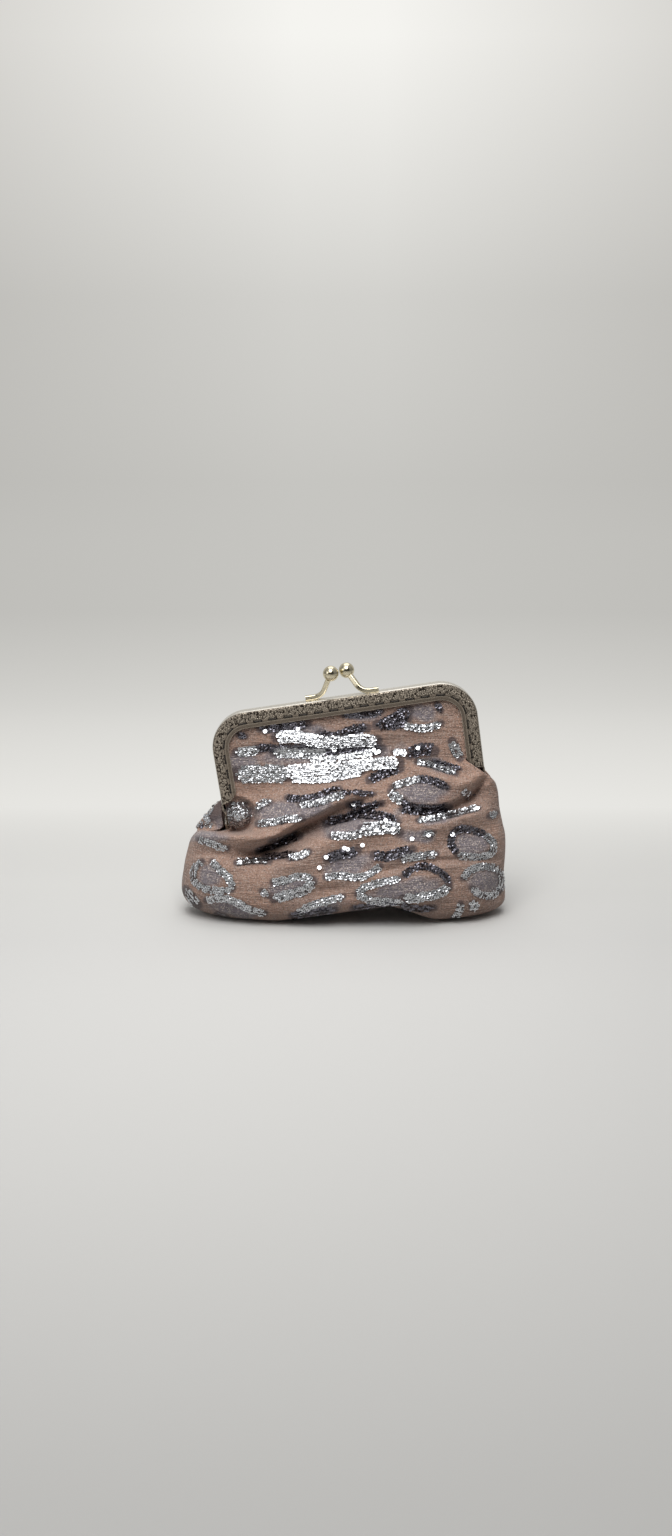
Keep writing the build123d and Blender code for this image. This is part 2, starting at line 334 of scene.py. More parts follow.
@dataclass(frozen=True)
class SequinMesh:
    """Stretch mesh with sequins sewn on: a matt dusty-rose knit, greyer inside the printed rosettes, and
    darkened with painted shade under and between the bands of sequins.

    Its dark net holes and pale yarn give the eye a fine salt-and-pepper speckle. The holes are 0.42 mm
    apart, and the stretch wrinkles run across in streaks about 7 mm long.
    """

    ground: str = "#c89d85"
    shade: str = "#a08a80"
    rosette: str = "#90878c"
    # painted shade that darkens the ground under and between the sequins
    painted_gap_shade: str = "#4d4448"
    speck_dark: str = "#6a5852"
    speck_pale: str = "#e3d3c8"
    net: float = 0.42

    def make(self) -> bpy.types.Material:
        """Builds the material."""
        material, tree, out = new_material("sequin_mesh")
        sewn = add_node(tree, "ShaderNodeAttribute", attribute_name="sewn")
        place = add_node(tree, "ShaderNodeTexCoord").outputs["Object"]
        cells = add_node(tree, "ShaderNodeTexVoronoi", {"Vector": place, "Scale": 1 / (self.net * MM)})
        drift = add_node(tree, "ShaderNodeTexNoise", {"Vector": place, "Scale": 70.0, "Detail": 3.0})
        wide = add_node(tree, "ShaderNodeMapping", {"Vector": place, "Scale": (1.0, 1.0, 9.0)})
        streaks = add_node(
            tree,
            "ShaderNodeTexNoise",
            {"Vector": wide.outputs[0], "Scale": 150.0, "Detail": 3.0},
        )
        ground = blend_colours(tree, drift.outputs["Fac"], linear(self.ground), linear(self.shade))
        spot = add_node(tree, "ShaderNodeAttribute", attribute_name="rosette")
        dyed = blend_colours(tree, spot.outputs["Fac"], ground, linear(self.rosette))
        chance = add_node(tree, "ShaderNodeSeparateColor", {0: cells.outputs["Color"]})
        dark = ramp(tree, chance.outputs[0], [(0.0, (0.7,) * 4), (0.4, (0.0,) * 4)])
        pale = ramp(tree, chance.outputs[1], [(0.7, (0.0,) * 4), (1.0, (1.0,) * 4)])
        # the specks show more on the rosettes' grey
        strength = spread(tree, spot.outputs["Fac"], (0.0, 1.0), (0.6, 1.0))
        specks = calculate(tree, "MULTIPLY", pale, strength)
        darker = blend_colours(tree, dark, dyed, linear(self.speck_dark))
        speckled = blend_colours(tree, specks, darker, linear(self.speck_pale))
        # painted shade: the ground goes dark under the bands of sequins, where shade falls between the
        # sequins
        under = calculate(tree, "MULTIPLY", sewn.outputs["Fac"], 0.8)
        gap_shaded = blend_colours(tree, under, speckled, linear(self.painted_gap_shade))
        fine = add_node(
            tree,
            "ShaderNodeBump",
            {"Height": cells.outputs["Distance"], "Distance": 0.00025},
            invert=True,
        )
        folds = add_node(
            tree,
            "ShaderNodeBump",
            {
                "Height": streaks.outputs["Fac"],
                "Distance": 0.0009,
                "Strength": 0.8,
                "Normal": fine.outputs[0],
            },
        )
        shader = add_node(
            tree,
            "ShaderNodeBsdfPrincipled",
            {"Base Color": gap_shaded, "Roughness": 0.68, "Normal": folds.outputs[0]},
        )
        shader.inputs["Sheen Weight"].default_value = 0.25
        shader.inputs["Sheen Roughness"].default_value = 0.4
        tree.links.new(shader.outputs[0], out.inputs[0])
        return material


@dataclass(frozen=True)
class PlatedSequin:
    """A cupped sequin of metal-coated polyester film: a small mirror that flashes or goes dark as it tilts.

    Fine handling scratches soften it.
    """

    name: str
    colour: str
    # the colour of the painted shade in the cup, round the stitch
    cup: str
    roughness: float

    def make(self) -> bpy.types.Material:
        """Builds the material."""
        material, tree, out = new_material(self.name)
        place = add_node(tree, "ShaderNodeTexCoord").outputs["Object"]
        wear = add_node(tree, "ShaderNodeTexNoise", {"Vector": place, "Scale": 900.0, "Detail": 2.0})
        tint = ramp(
            tree,
            wear.outputs["Fac"],
            [(0.3, tuple(0.75 * c for c in linear(self.colour)[:3]) + (1,)), (0.7, linear(self.colour))],
        )
        # painted shade: the cup is coloured darker round its stitch, towards the hole
        rim = add_node(tree, "ShaderNodeAttribute", attribute_name="rim")
        worn = blend_colours(tree, rim.outputs["Fac"], linear(self.cup), tint)
        rough = spread(tree, wear.outputs["Fac"], (0.3, 0.7), (self.roughness * 0.7, self.roughness * 1.4))
        shader = add_node(
            tree,
            "ShaderNodeBsdfPrincipled",
            {"Base Color": worn, "Roughness": rough},
        )
        shader.inputs["Metallic"].default_value = 1.0
        tree.links.new(shader.outputs[0], out.inputs[0])
        return material


@dataclass(frozen=True)
class PebbledAntiqueNickel:
    """Nickel-plated steel, rolled with a pebble texture, antiqued black and rubbed back.

    The eye sees dark recesses, pale taupe pebbles 0.72 mm apart, a plain bead along the mouth and a bright,
    worn outer flange. banding_depth is how far in from the arch's edge the bands of the face are spread.
    """

    plan: ArchPlan
    recess: str = "#2e2620"
    pebble: str = "#aba091"
    bead: str = "#85796c"
    flange: str = "#fbf7ee"
    pebble_pitch: float = 0.72
    banding_depth: float = 8.0

    def make(self) -> bpy.types.Material:
        """Builds the material."""
        material, tree, out = new_material("pebbled_antique_nickel")
        coords = add_node(tree, "ShaderNodeTexCoord")
        place = coords.outputs["Object"]
        # the arch's own axes, in mm: along it, through it and up it
        local = add_node(
            tree,
            "ShaderNodeMapping",
            {
                "Vector": place,
                "Location": tuple(c * MM for c in self.plan.hinge),
                "Rotation": (0, -math.radians(self.plan.roll), 0),
                "Scale": (MM, MM, MM),
            },
            vector_type="TEXTURE",
        )
        parts = add_node(tree, "ShaderNodeSeparateXYZ", {0: local.outputs[0]})
        away = calculate(tree, "ABSOLUTE", parts.outputs[0])
        straight = self.plan.half_width - self.plan.corner
        spring = self.plan.height - self.plan.corner
        side = calculate(tree, "SUBTRACT", away, straight)
        top = calculate(tree, "SUBTRACT", parts.outputs[2], spring)
        side_out = calculate(tree, "MAXIMUM", side, 0.0)
        top_out = calculate(tree, "MAXIMUM", top, 0.0)
        pair = add_node(tree, "ShaderNodeCombineXYZ", {0: side_out, 1: top_out})
        reach = add_node(tree, "ShaderNodeVectorMath", {0: pair.outputs[0]}, operation="LENGTH")
        larger = calculate(tree, "MAXIMUM", side, top)
        inner = calculate(tree, "MINIMUM", larger, 0.0)
        total = calculate(tree, "ADD", reach.outputs["Value"], inner)
        inset = calculate(tree, "SUBTRACT", self.plan.corner, total)
        share = calculate(tree, "DIVIDE", inset, self.banding_depth)
        # across the face: worn edge, pebbled band, rubbed strip under the stitches, groove darkened with
        # painted shade, and a plain bead with rubbed edges
        banding = ramp(
            tree,
            share,
            [
                (0.0, linear("#b9ae9f")),
                (0.05, linear("#6a5f55")),
                (0.56, linear("#4d443d")),
                (0.58, linear("#b8ab9b")),
                (0.61, linear("#94877a")),
                (0.665, linear("#85796c")),
                # painted shade in the groove
                (0.69, linear("#2a231f")),
                (0.715, linear("#c0b4a4")),
                (0.75, linear(self.bead)),
                (0.88, linear("#7c7064")),
                (0.925, linear("#c4b8a8")),
            ],
        )
        pebbled = ramp(
            tree,
            share,
            [(0.03, (0.0,) * 4), (0.07, (1.0,) * 4), (0.54, (1.0,) * 4), (0.58, (0.12,) * 4)],
        )
        warp = add_node(tree, "ShaderNodeTexNoise", {"Vector": place, "Scale": 420.0, "Detail": 1.0})
        bent = add_node(
            tree,
            "ShaderNodeVectorMath",
            {0: warp.outputs["Color"], 1: (0.0006,) * 3, 2: place},
            operation="MULTIPLY_ADD",
        )
        cells = add_node(
            tree,
            "ShaderNodeTexVoronoi",
            {"Vector": bent.outputs[0], "Scale": 1 / (self.pebble_pitch * MM)},
            feature="F1",
        )
        crown = spread(tree, cells.outputs["Distance"], (0.78, 0.36), (0.0, 1.0))
        pebbles = blend_colours(tree, crown, linear(self.recess), linear(self.pebble))
        face = blend_colours(tree, pebbled, banding, pebbles)
        facing = add_node(tree, "ShaderNodeSeparateXYZ", {0: coords.outputs["Normal"]})
        turned = calculate(tree, "ABSOLUTE", facing.outputs[1])
        is_face = spread(tree, turned, (0.45, 0.8), (0.0, 1.0))
        grain = add_node(tree, "ShaderNodeTexNoise", {"Vector": place, "Scale": 900.0, "Detail": 2.0})
        worn = blend_colours(tree, grain.outputs["Fac"], linear(self.flange), linear("#c4bdb0"))
        colour = blend_colours(tree, is_face, worn, face)
        depth = calculate(tree, "MULTIPLY", crown, pebbled)
        bump = add_node(tree, "ShaderNodeBump", {"Height": depth, "Distance": 0.00022, "Strength": 0.8})
        pitted = spread(tree, crown, (0.0, 1.0), (0.6, 0.34))
        rough = add_node(tree, "ShaderNodeMix", {0: is_face, 2: 0.3, 3: pitted})
        shader = add_node(
            tree,
            "ShaderNodeBsdfPrincipled",
            {"Base Color": colour, "Roughness": rough.outputs[0], "Normal": bump.outputs[0]},
        )
        shader.inputs["Metallic"].default_value = 0.85
        tree.links.new(shader.outputs[0], out.inputs[0])
        return material


@dataclass(frozen=True)
class PolishedPaleBrass:
    """Turned brass, polished and plated a pale champagne nickel: a warm mirror with faint handling marks."""

    name: str = "polished_pale_brass"
    colour: str = "#ddd3b8"
    roughness: float = 0.15

    def make(self) -> bpy.types.Material:
        """Builds the material."""
        material, tree, out = new_material(self.name)
        place = add_node(tree, "ShaderNodeTexCoord").outputs["Object"]
        marks = add_node(tree, "ShaderNodeTexNoise", {"Vector": place, "Scale": 600.0, "Detail": 3.0})
        tint = ramp(
            tree,
            marks.outputs["Fac"],
            [(0.35, tuple(0.8 * c for c in linear(self.colour)[:3]) + (1,)), (0.65, linear(self.colour))],
        )
        rough = spread(tree, marks.outputs["Fac"], (0.3, 0.7), (self.roughness * 0.8, self.roughness * 1.6))
        shader = add_node(tree, "ShaderNodeBsdfPrincipled", {"Base Color": tint, "Roughness": rough})
        shader.inputs["Metallic"].default_value = 1.0
        tree.links.new(shader.outputs[0], out.inputs[0])
        return material


@dataclass(frozen=True)
class WaxedThread:
    """Waxed polyester sewing thread: nearly black twisted strands, half a millimetre thick and dull."""

    colour: str = "#1f1915"
    twist: float = 0.45

    def make(self) -> bpy.types.Material:
        """Builds the material."""
        material, tree, out = new_material("waxed_thread")
        place = add_node(tree, "ShaderNodeTexCoord").outputs["Object"]
        strands = add_node(
            tree,
            "ShaderNodeTexWave",
            {"Vector": place, "Scale": 1 / (self.twist * MM) / 6.28, "Distortion": 1.5},
            bands_direction="DIAGONAL",
        )
        tint = ramp(
            tree,
            strands.outputs["Fac"],
            [(0.0, tuple(0.5 * c for c in linear(self.colour)[:3]) + (1,)), (1.0, linear(self.colour))],
        )
        bump = add_node(tree, "ShaderNodeBump", {"Height": strands.outputs["Fac"], "Distance": 0.0001})
        shader = add_node(
            tree, "ShaderNodeBsdfPrincipled", {"Base Color": tint, "Normal": bump.outputs[0]}
        )
        shader.inputs["Roughness"].default_value = 0.55
        tree.links.new(shader.outputs[0], out.inputs[0])
        return material


@dataclass(frozen=True)
class SatinLining:
    """Woven polyester satin: a plain dusky taupe lining with a soft sheen and fine threads across it."""

    colour: str = "#7d6a66"
    shade: str = "#5f4f4c"
    thread: float = 0.35

    def make(self) -> bpy.types.Material:
        """Builds the material."""
        material, tree, out = new_material("satin_lining")
        place = add_node(tree, "ShaderNodeTexCoord").outputs["Object"]
        weave = add_node(
            tree,
            "ShaderNodeTexWave",
            {"Vector": place, "Scale": 1 / (self.thread * MM) / 6.28, "Distortion": 0.6},
            bands_direction="Z",
        )
        cloud = add_node(tree, "ShaderNodeTexNoise", {"Vector": place, "Scale": 60.0, "Detail": 3.0})
        tint = blend_colours(tree, cloud.outputs["Fac"], linear(self.colour), linear(self.shade))
        bump = add_node(tree, "ShaderNodeBump", {"Height": weave.outputs["Fac"], "Distance": 0.00006})
        shader = add_node(
            tree, "ShaderNodeBsdfPrincipled", {"Base Color": tint, "Normal": bump.outputs[0]}
        )
        shader.inputs["Roughness"].default_value = 0.42
        shader.inputs["Sheen Weight"].default_value = 0.2
        tree.links.new(shader.outputs[0], out.inputs[0])
        return material


# ---------------------------------------------------------------- the cloth's shape


@dataclass(frozen=True)
class Course:
    """One level line of a cloth half, from its left end to its right end, in mm.

    Ends are (x, z, depth), where depth is how far the cloth stands out of the purse's middle plane. belly is
    that depth halfway along, and full says how squarely the line reaches it. wrap is how far the cloth
    swells out past its left end before it turns back in to it.
    """

    left: tuple[float, float, float]
    right: tuple[float, float, float]
    belly: float
    full: float = 3.2
    wrap: float = 0.0


@dataclass(frozen=True)
class Fold:
    """A ridge or a valley of cloth along a line of its elevation, in mm.

    line has (across, up, rise) points, and rise is how far the cloth stands forward there. above and below
    are how far the fold reaches on each side of the line, for a line drawn from left to right.
    """

    line: tuple[tuple[float, float, float], ...]
    above: float
    below: float

    def rise(self, across: np.ndarray, up: np.ndarray) -> np.ndarray:
        """How far the fold pushes the cloth forward.

        Args:
            across: how far across the elevation each point is.
            up: how far up it is.

        Returns:
            The forward push in mm, backward where it is negative.
        """
        path = smooth_line(np.array(self.line), 14)
        middle, step = path[:-1, :2], np.diff(path[:, :2], axis=0)
        middle = middle + step / 2
        length = np.hypot(*step.T)
        along = step / length[:, None]
        x, z = across[:, None] - middle[None, :, 0], up[:, None] - middle[None, :, 1]
        nearest = np.argmin(x**2 + z**2, axis=1)
        rows = np.arange(len(across))
        x, z = x[rows, nearest], z[rows, nearest]
        away = along[nearest, 0] * z - along[nearest, 1] * x
        past = np.maximum(np.abs(along[nearest, 0] * x + along[nearest, 1] * z) - length[nearest], 0)
        reach = np.where(away > 0, self.above, self.below)
        height = (path[:-1, 2] + path[1:, 2])[nearest] / 2
        return height * np.exp(-((away / reach) ** 2) - (past / (0.5 * (self.above + self.below))) ** 2)


@dataclass(frozen=True)
class Dimple:
    """A round rise or hollow of the cloth in its elevation, in mm. A larger edge makes its rim steeper."""

    centre: tuple[float, float]
    radii: tuple[float, float]
    height: float
    turn: float = 0.0
    edge: float = 2.0

    def rise(self, across: np.ndarray, up: np.ndarray) -> np.ndarray:
        """How far the dimple pushes the cloth forward."""
        turn = math.radians(self.turn)
        x, z = across - self.centre[0], up - self.centre[1]
        a = (x * math.cos(turn) + z * math.sin(turn)) / self.radii[0]
        b = (z * math.cos(turn) - x * math.sin(turn)) / self.radii[1]
        return self.height * np.exp(-((a * a + b * b) ** (self.edge / 2)))


@dataclass(frozen=True)
class Patch:
    """The greyer ground inside a rosette: an oval of the elevation, in mm."""

    centre: tuple[float, float]
    radii: tuple[float, float]
    turn: float = 0.0


@dataclass(frozen=True)
class Row:
    """A band of sequins sewn side by side along a line of the elevation, in mm.

    tone is the sequins' plating, scale their size and pitch against the full ones, and glow how far they tip
    towards the lamp. A band of the back half may be placed as seen from the front.
    """

    line: tuple[tuple[float, float], ...]
    width: float = 2.6
    tone: Tone = Tone.SILVER
    glow: float = 0.0
    from_front: bool = False
    scale: float = 1.0


# The left and right ends of these lines are where the cloth leaves the channel, passes the arms' ends and
# meets the other half in the side seams, from the clasp down to the bottom seam.
FRONT_COURSES = (
    Course((-53.4, 54.7, 2.8), (54.9, 72.7, 3.3), 4.6),
    Course((-54.2, 52.0, 2.5), (57.4, 70.8, 5.8), 7.0),
    Course((-53.9, 49.8, 2.2), (61.3, 68.2, 6.3), 9.2),
    Course((-53.7, 47.6, 2.0), (65.2, 65.5, 5.7), 11.2),
    Course((-53.4, 45.6, 1.8), (68.0, 62.6, 4.0), 12.8),
    Course((-53.1, 43.6, 1.5), (69.4, 59.4, 2.0), 14.0),
    Course((-52.8, 41.6, 1.2), (70.2, 56.0, 1.0), 15.0),
    Course((-52.6, 39.8, 1.0), (70.6, 53.0, 0.4), 15.8),
    Course((-56.5, 39.0, 0.5), (71.0, 50.0, 0.0), 16.8),
    Course((-62.0, 39.0, 0.2), (71.6, 47.0, 0.0), 17.8),
    Course((-66.5, 38.6, 0.0), (72.3, 44.0, 0.0), 18.8),
    Course((-69.0, 36.8, 0.0), (73.0, 41.0, 0.0), 20.0),
    Course((-70.8, 34.0, 0.0), (73.9, 37.5, 0.0), 21.5),
    Course((-72.0, 30.0, 0.0), (74.3, 33.0, 0.0), 23.5),
    Course((-73.3, 25.0, 0.0), (74.3, 28.0, 0.0), 25.0),
    Course((-74.2, 20.0, 0.0), (74.0, 22.5, 0.0), 26.3),
    Course((-75.0, 15.5, 0.0), (74.0, 17.0, 0.0), 26.9),
    Course((-75.2, 11.0, 0.0), (74.6, 11.5, 0.0), 26.8),
    Course((-74.0, 7.0, 0.0), (74.8, 7.0, 0.0), 25.5),
    Course((-71.5, 4.0, 0.0), (73.5, 4.0, 0.0), 23.0),
    Course((-67.5, 1.6, 0.0), (70.0, 1.8, 0.0), 19.5),
    Course((-63.0, 0.6, 0.0), (65.0, 0.6, 0.0), 15.0),
    Course((-61.0, 0.3, 0.0), (62.0, 0.3, 0.0), 9.0),
    Course((-60.0, 0.3, 0.0), (60.0, 0.3, 0.0), 0.0),
)
BACK_COURSES = (
    Course((-51.2, 56.2, 3.6), (54.9, 72.7, 3.3), 4.6),
    Course((-54.9, 54.3, 5.8), (57.4, 71.3, 5.8), 7.0),
    Course((-56.6, 52.0, 2.6), (61.0, 68.9, 6.0), 9.2, wrap=3.0),
    Course((-56.4, 49.6, -1.0), (64.2, 66.3, 5.0), 11.2, wrap=6.8),
    Course((-56.2, 47.2, -3.4), (66.8, 63.6, 3.4), 12.8, wrap=9.6),
    Course((-56.0, 45.0, -4.2), (68.4, 60.4, 1.8), 14.0, wrap=12.2),
    Course((-55.8, 43.0, -4.4), (69.4, 57.0, 0.9), 15.0, wrap=14.2),
    Course((-56.0, 41.2, -4.2), (70.0, 53.5, 0.4), 15.8, wrap=15.6),
    Course((-59.0, 39.8, -3.0), (70.6, 50.0, 0.0), 16.8, wrap=13.6),
    Course((-63.5, 39.0, -1.4), (71.3, 47.0, 0.0), 17.8, wrap=9.8),
    Course((-67.0, 38.0, -0.3), (72.0, 44.0, 0.0), 18.8, wrap=6.0),
    *FRONT_COURSES[11:],
)
FRONT_FOLDS = (
    # the long diagonal valley, dark under its upper lip, and the bright lip that hangs over it
    Fold(
        (
            (-57.0, 30.5, 0.0),
            (-50.0, 28.4, -1.8),
            (-43.0, 27.8, -7.0),
            (-38.0, 29.0, -12.0),
            (-34.0, 31.0, -13.5),
            (-27.5, 34.0, -13.0),
            (-20.0, 38.2, -11.0),
            (-12.8, 41.8, -8.0),
            (-5.0, 45.8, -6.5),
            (1.5, 48.8, -5.0),
            (9.0, 51.8, -3.0),
            (17.0, 54.5, 0.0),
        ),
        1.6,
        6.5,
    ),
    Fold(
        (
            (-46.0, 33.0, 1.5),
            (-38.0, 34.6, 3.4),
            (-33.0, 36.2, 4.0),
            (-26.0, 39.4, 4.0),
            (-19.0, 43.2, 3.6),
            (-12.0, 46.6, 3.0),
            (-4.0, 50.8, 2.4),
            (4.0, 54.0, 1.2),
            (12.0, 57.0, 0.0),
        ),
        5.0,
        2.0,
    ),
    # the lip that runs on round the left side, under the hollow
    Fold(
        (
            (-74.0, 34.0, 0.0),
            (-67.0, 35.9, 2.2),
            (-60.0, 36.3, 4.6),
            (-52.0, 36.2, 5.6),
            (-45.0, 36.0, 5.2),
            (-38.0, 36.8, 3.0),
            (-32.0, 38.5, 0.0),
        ),
        1.3,
        4.5,
    ),
    # the second branch of the valley and the swell below both
    Fold(
        (
            (-14.0, 37.8, 0.0),
            (-6.0, 41.0, -2.6),
            (4.0, 45.0, -3.2),
            (14.0, 48.6, -2.4),
            (24.0, 51.0, 0.0),
        ),
        1.3,
        3.0,
    ),
    Fold(
        (
            (-32.0, 24.0, 0.0),
            (-18.0, 30.0, 2.6),
            (-4.0, 35.5, 3.6),
            (10.0, 38.5, 3.6),
            (26.0, 41.0, 0.8),
        ),
        4.0,
        6.5,
    ),
    # the right-hand valley, its pinch up to the shoulder, and the sharp ridge under it
    Fold(
        (
            (24.0, 50.5, 0.0),
            (32.0, 48.0, -2.4),
            (40.0, 46.8, -4.2),
            (46.0, 47.2, -5.6),
            (51.0, 49.3, -6.0),
            (56.0, 51.8, -5.4),
            (60.5, 54.6, -3.6),
            (64.0, 58.5, 0.0),
        ),
        2.0,
        3.6,
    ),
    Fold(
        (
            (55.0, 50.5, 0.0),
            (58.5, 54.0, -3.4),
            (62.0, 58.5, -3.6),
            (65.5, 63.6, -1.5),
            (67.0, 66.0, 0.0),
        ),
        1.6,
        1.4,
    ),
    Fold(((48.0, 56.0, 0.0), (54.0, 59.0, 1.6), (60.0, 62.0, 1.6), (64.0, 66.0, 0.0)), 2.4, 2.0),
    Fold(
        (
            (30.0, 38.6, 0.0),
            (38.0, 40.8, 3.4),
            (45.0, 42.2, 4.2),
            (52.0, 43.8, 4.2),
            (60.0, 45.8, 3.4),
            (68.0, 48.5, 0.0),
        ),
        1.1,
        5.5,
    ),
    # the hollow by the left arm's foot with the puckered swelling in it, and the upright edge beside it
    Dimple((-49.2, 44.8), (9.4, 8.0), -11.5, edge=10.0),
    Dimple((-48.0, 45.2), (6.4, 6.6), 13.0, edge=3.6),
    # slack rolls across the window
    Fold(((-52.0, 64.0, 0.6), (-20.0, 65.0, 1.4), (10.0, 68.0, 1.4), (40.0, 72.0, 0.4)), 5.0, 5.5),
    Fold(((-40.0, 73.5, -0.5), (-10.0, 74.0, -1.0), (20.0, 76.0, -0.6), (40.0, 80.0, 0.0)), 3.0, 3.0),
    Fold(((-30.0, 80.5, 0.3), (-8.0, 80.0, 1.1), (12.0, 81.0, 0.8), (30.0, 83.0, 0.0)), 3.5, 3.0),
    Fold(((24.0, 73.5, 0.0), (36.0, 69.5, -1.3), (48.0, 65.0, -1.8), (58.0, 62.5, 0.0)), 2.0, 3.0),
    Fold(((18.0, 70.0, 0.0), (32.0, 66.0, 1.5), (46.0, 61.0, 1.8), (56.0, 58.5, 0.0)), 3.0, 3.0),
    Fold(((-36.0, 56.0, 0.0), (-20.0, 54.0, 1.2), (-4.0, 56.0, 1.4), (12.0, 60.0, 0.0)), 4.0, 3.5),
    # long soft swells and creases low down
    Fold(((-52.0, 24.0, 0.0), (-38.0, 22.5, 1.4), (-24.0, 23.0, 1.4), (-10.0, 24.0, 0.0)), 2.5, 4.0),
    Fold(((20.0, 25.2, 0.0), (36.0, 24.6, -1.4), (54.0, 25.0, -1.7), (70.0, 25.6, -0.8)), 1.0, 1.8),
    Fold(((-30.0, 5.0, 0.0), (-16.0, 9.5, -1.6), (-4.0, 11.5, -1.8), (6.0, 13.5, 0.0)), 2.4, 3.0),
    Fold(((4.0, 22.0, 0.0), (18.0, 20.0, -1.6), (30.0, 22.5, -1.4), (44.0, 23.5, 0.0)), 2.0, 2.4),
    Fold(((-72.0, 28.5, 0.0), (-62.0, 28.0, -1.4), (-52.0, 26.2, -1.8), (-42.0, 25.5, 0.0)), 1.6, 2.4),
    Dimple((62.0, 14.0), (10.0, 9.0), 2.0),
    Dimple((59.0, 33.0), (10.0, 6.5), 1.6),
    Dimple((-60.0, 14.0), (11.0, 9.0), 2.0),
    Dimple((28.0, 11.0), (18.0, 7.0), 1.8),
    Dimple((46.0, 5.0), (5.0, 9.0), -1.8),
)
BACK_FOLDS = (
    Fold(
        (
            (-60.0, 30.0, 0.0),
            (-44.0, 36.0, -4.0),
            (-26.0, 39.0, -5.5),
            (-6.0, 38.0, -3.5),
            (8.0, 34.0, 0.0),
        ),
        2.6,
        5.5,
    ),
    Fold(
        (
            (-58.0, 35.5, 0.0),
            (-42.0, 41.5, 2.5),
            (-24.0, 44.5, 3.0),
            (-4.0, 43.5, 1.5),
            (8.0, 40.0, 0.0),
        ),
        3.0,
        3.5,
    ),
    Fold(((8.0, 46.0, 0.0), (26.0, 50.0, -3.5), (42.0, 54.0, -4.0), (58.0, 60.0, 0.0)), 2.4, 4.5),
    Fold(((4.0, 38.0, 0.0), (24.0, 42.0, 2.5), (44.0, 45.0, 2.5), (64.0, 50.0, 0.0)), 3.0, 5.0),
    Fold(((-50.0, 18.0, 0.0), (-28.0, 21.0, -1.8), (-6.0, 19.5, -1.8), (14.0, 22.0, 0.0)), 2.2, 3.2),
    Fold(((18.0, 24.0, 0.0), (38.0, 27.0, -2.4), (58.0, 26.0, 0.0)), 2.2, 3.4),
    Fold(((-48.0, 66.0, 0.5), (-16.0, 68.0, 1.4), (16.0, 70.0, 1.2), (46.0, 78.0, 0.3)), 5.0, 5.0),
    Fold(((-40.0, 76.0, -0.4), (-8.0, 77.0, -1.1), (24.0, 81.0, -0.6), (44.0, 86.0, 0.0)), 3.0, 3.0),
    Fold(((-46.0, 57.0, 0.0), (-24.0, 55.0, -1.8), (2.0, 57.0, -1.8), (26.0, 62.0, 0.0)), 2.4, 3.4),
    Dimple((-54.0, 13.0), (14.0, 9.0), 1.8),
    Dimple((34.0, 12.0), (20.0, 8.0), 1.8),
    Dimple((-8.0, 8.0), (9.0, 7.0), -2.0),
)


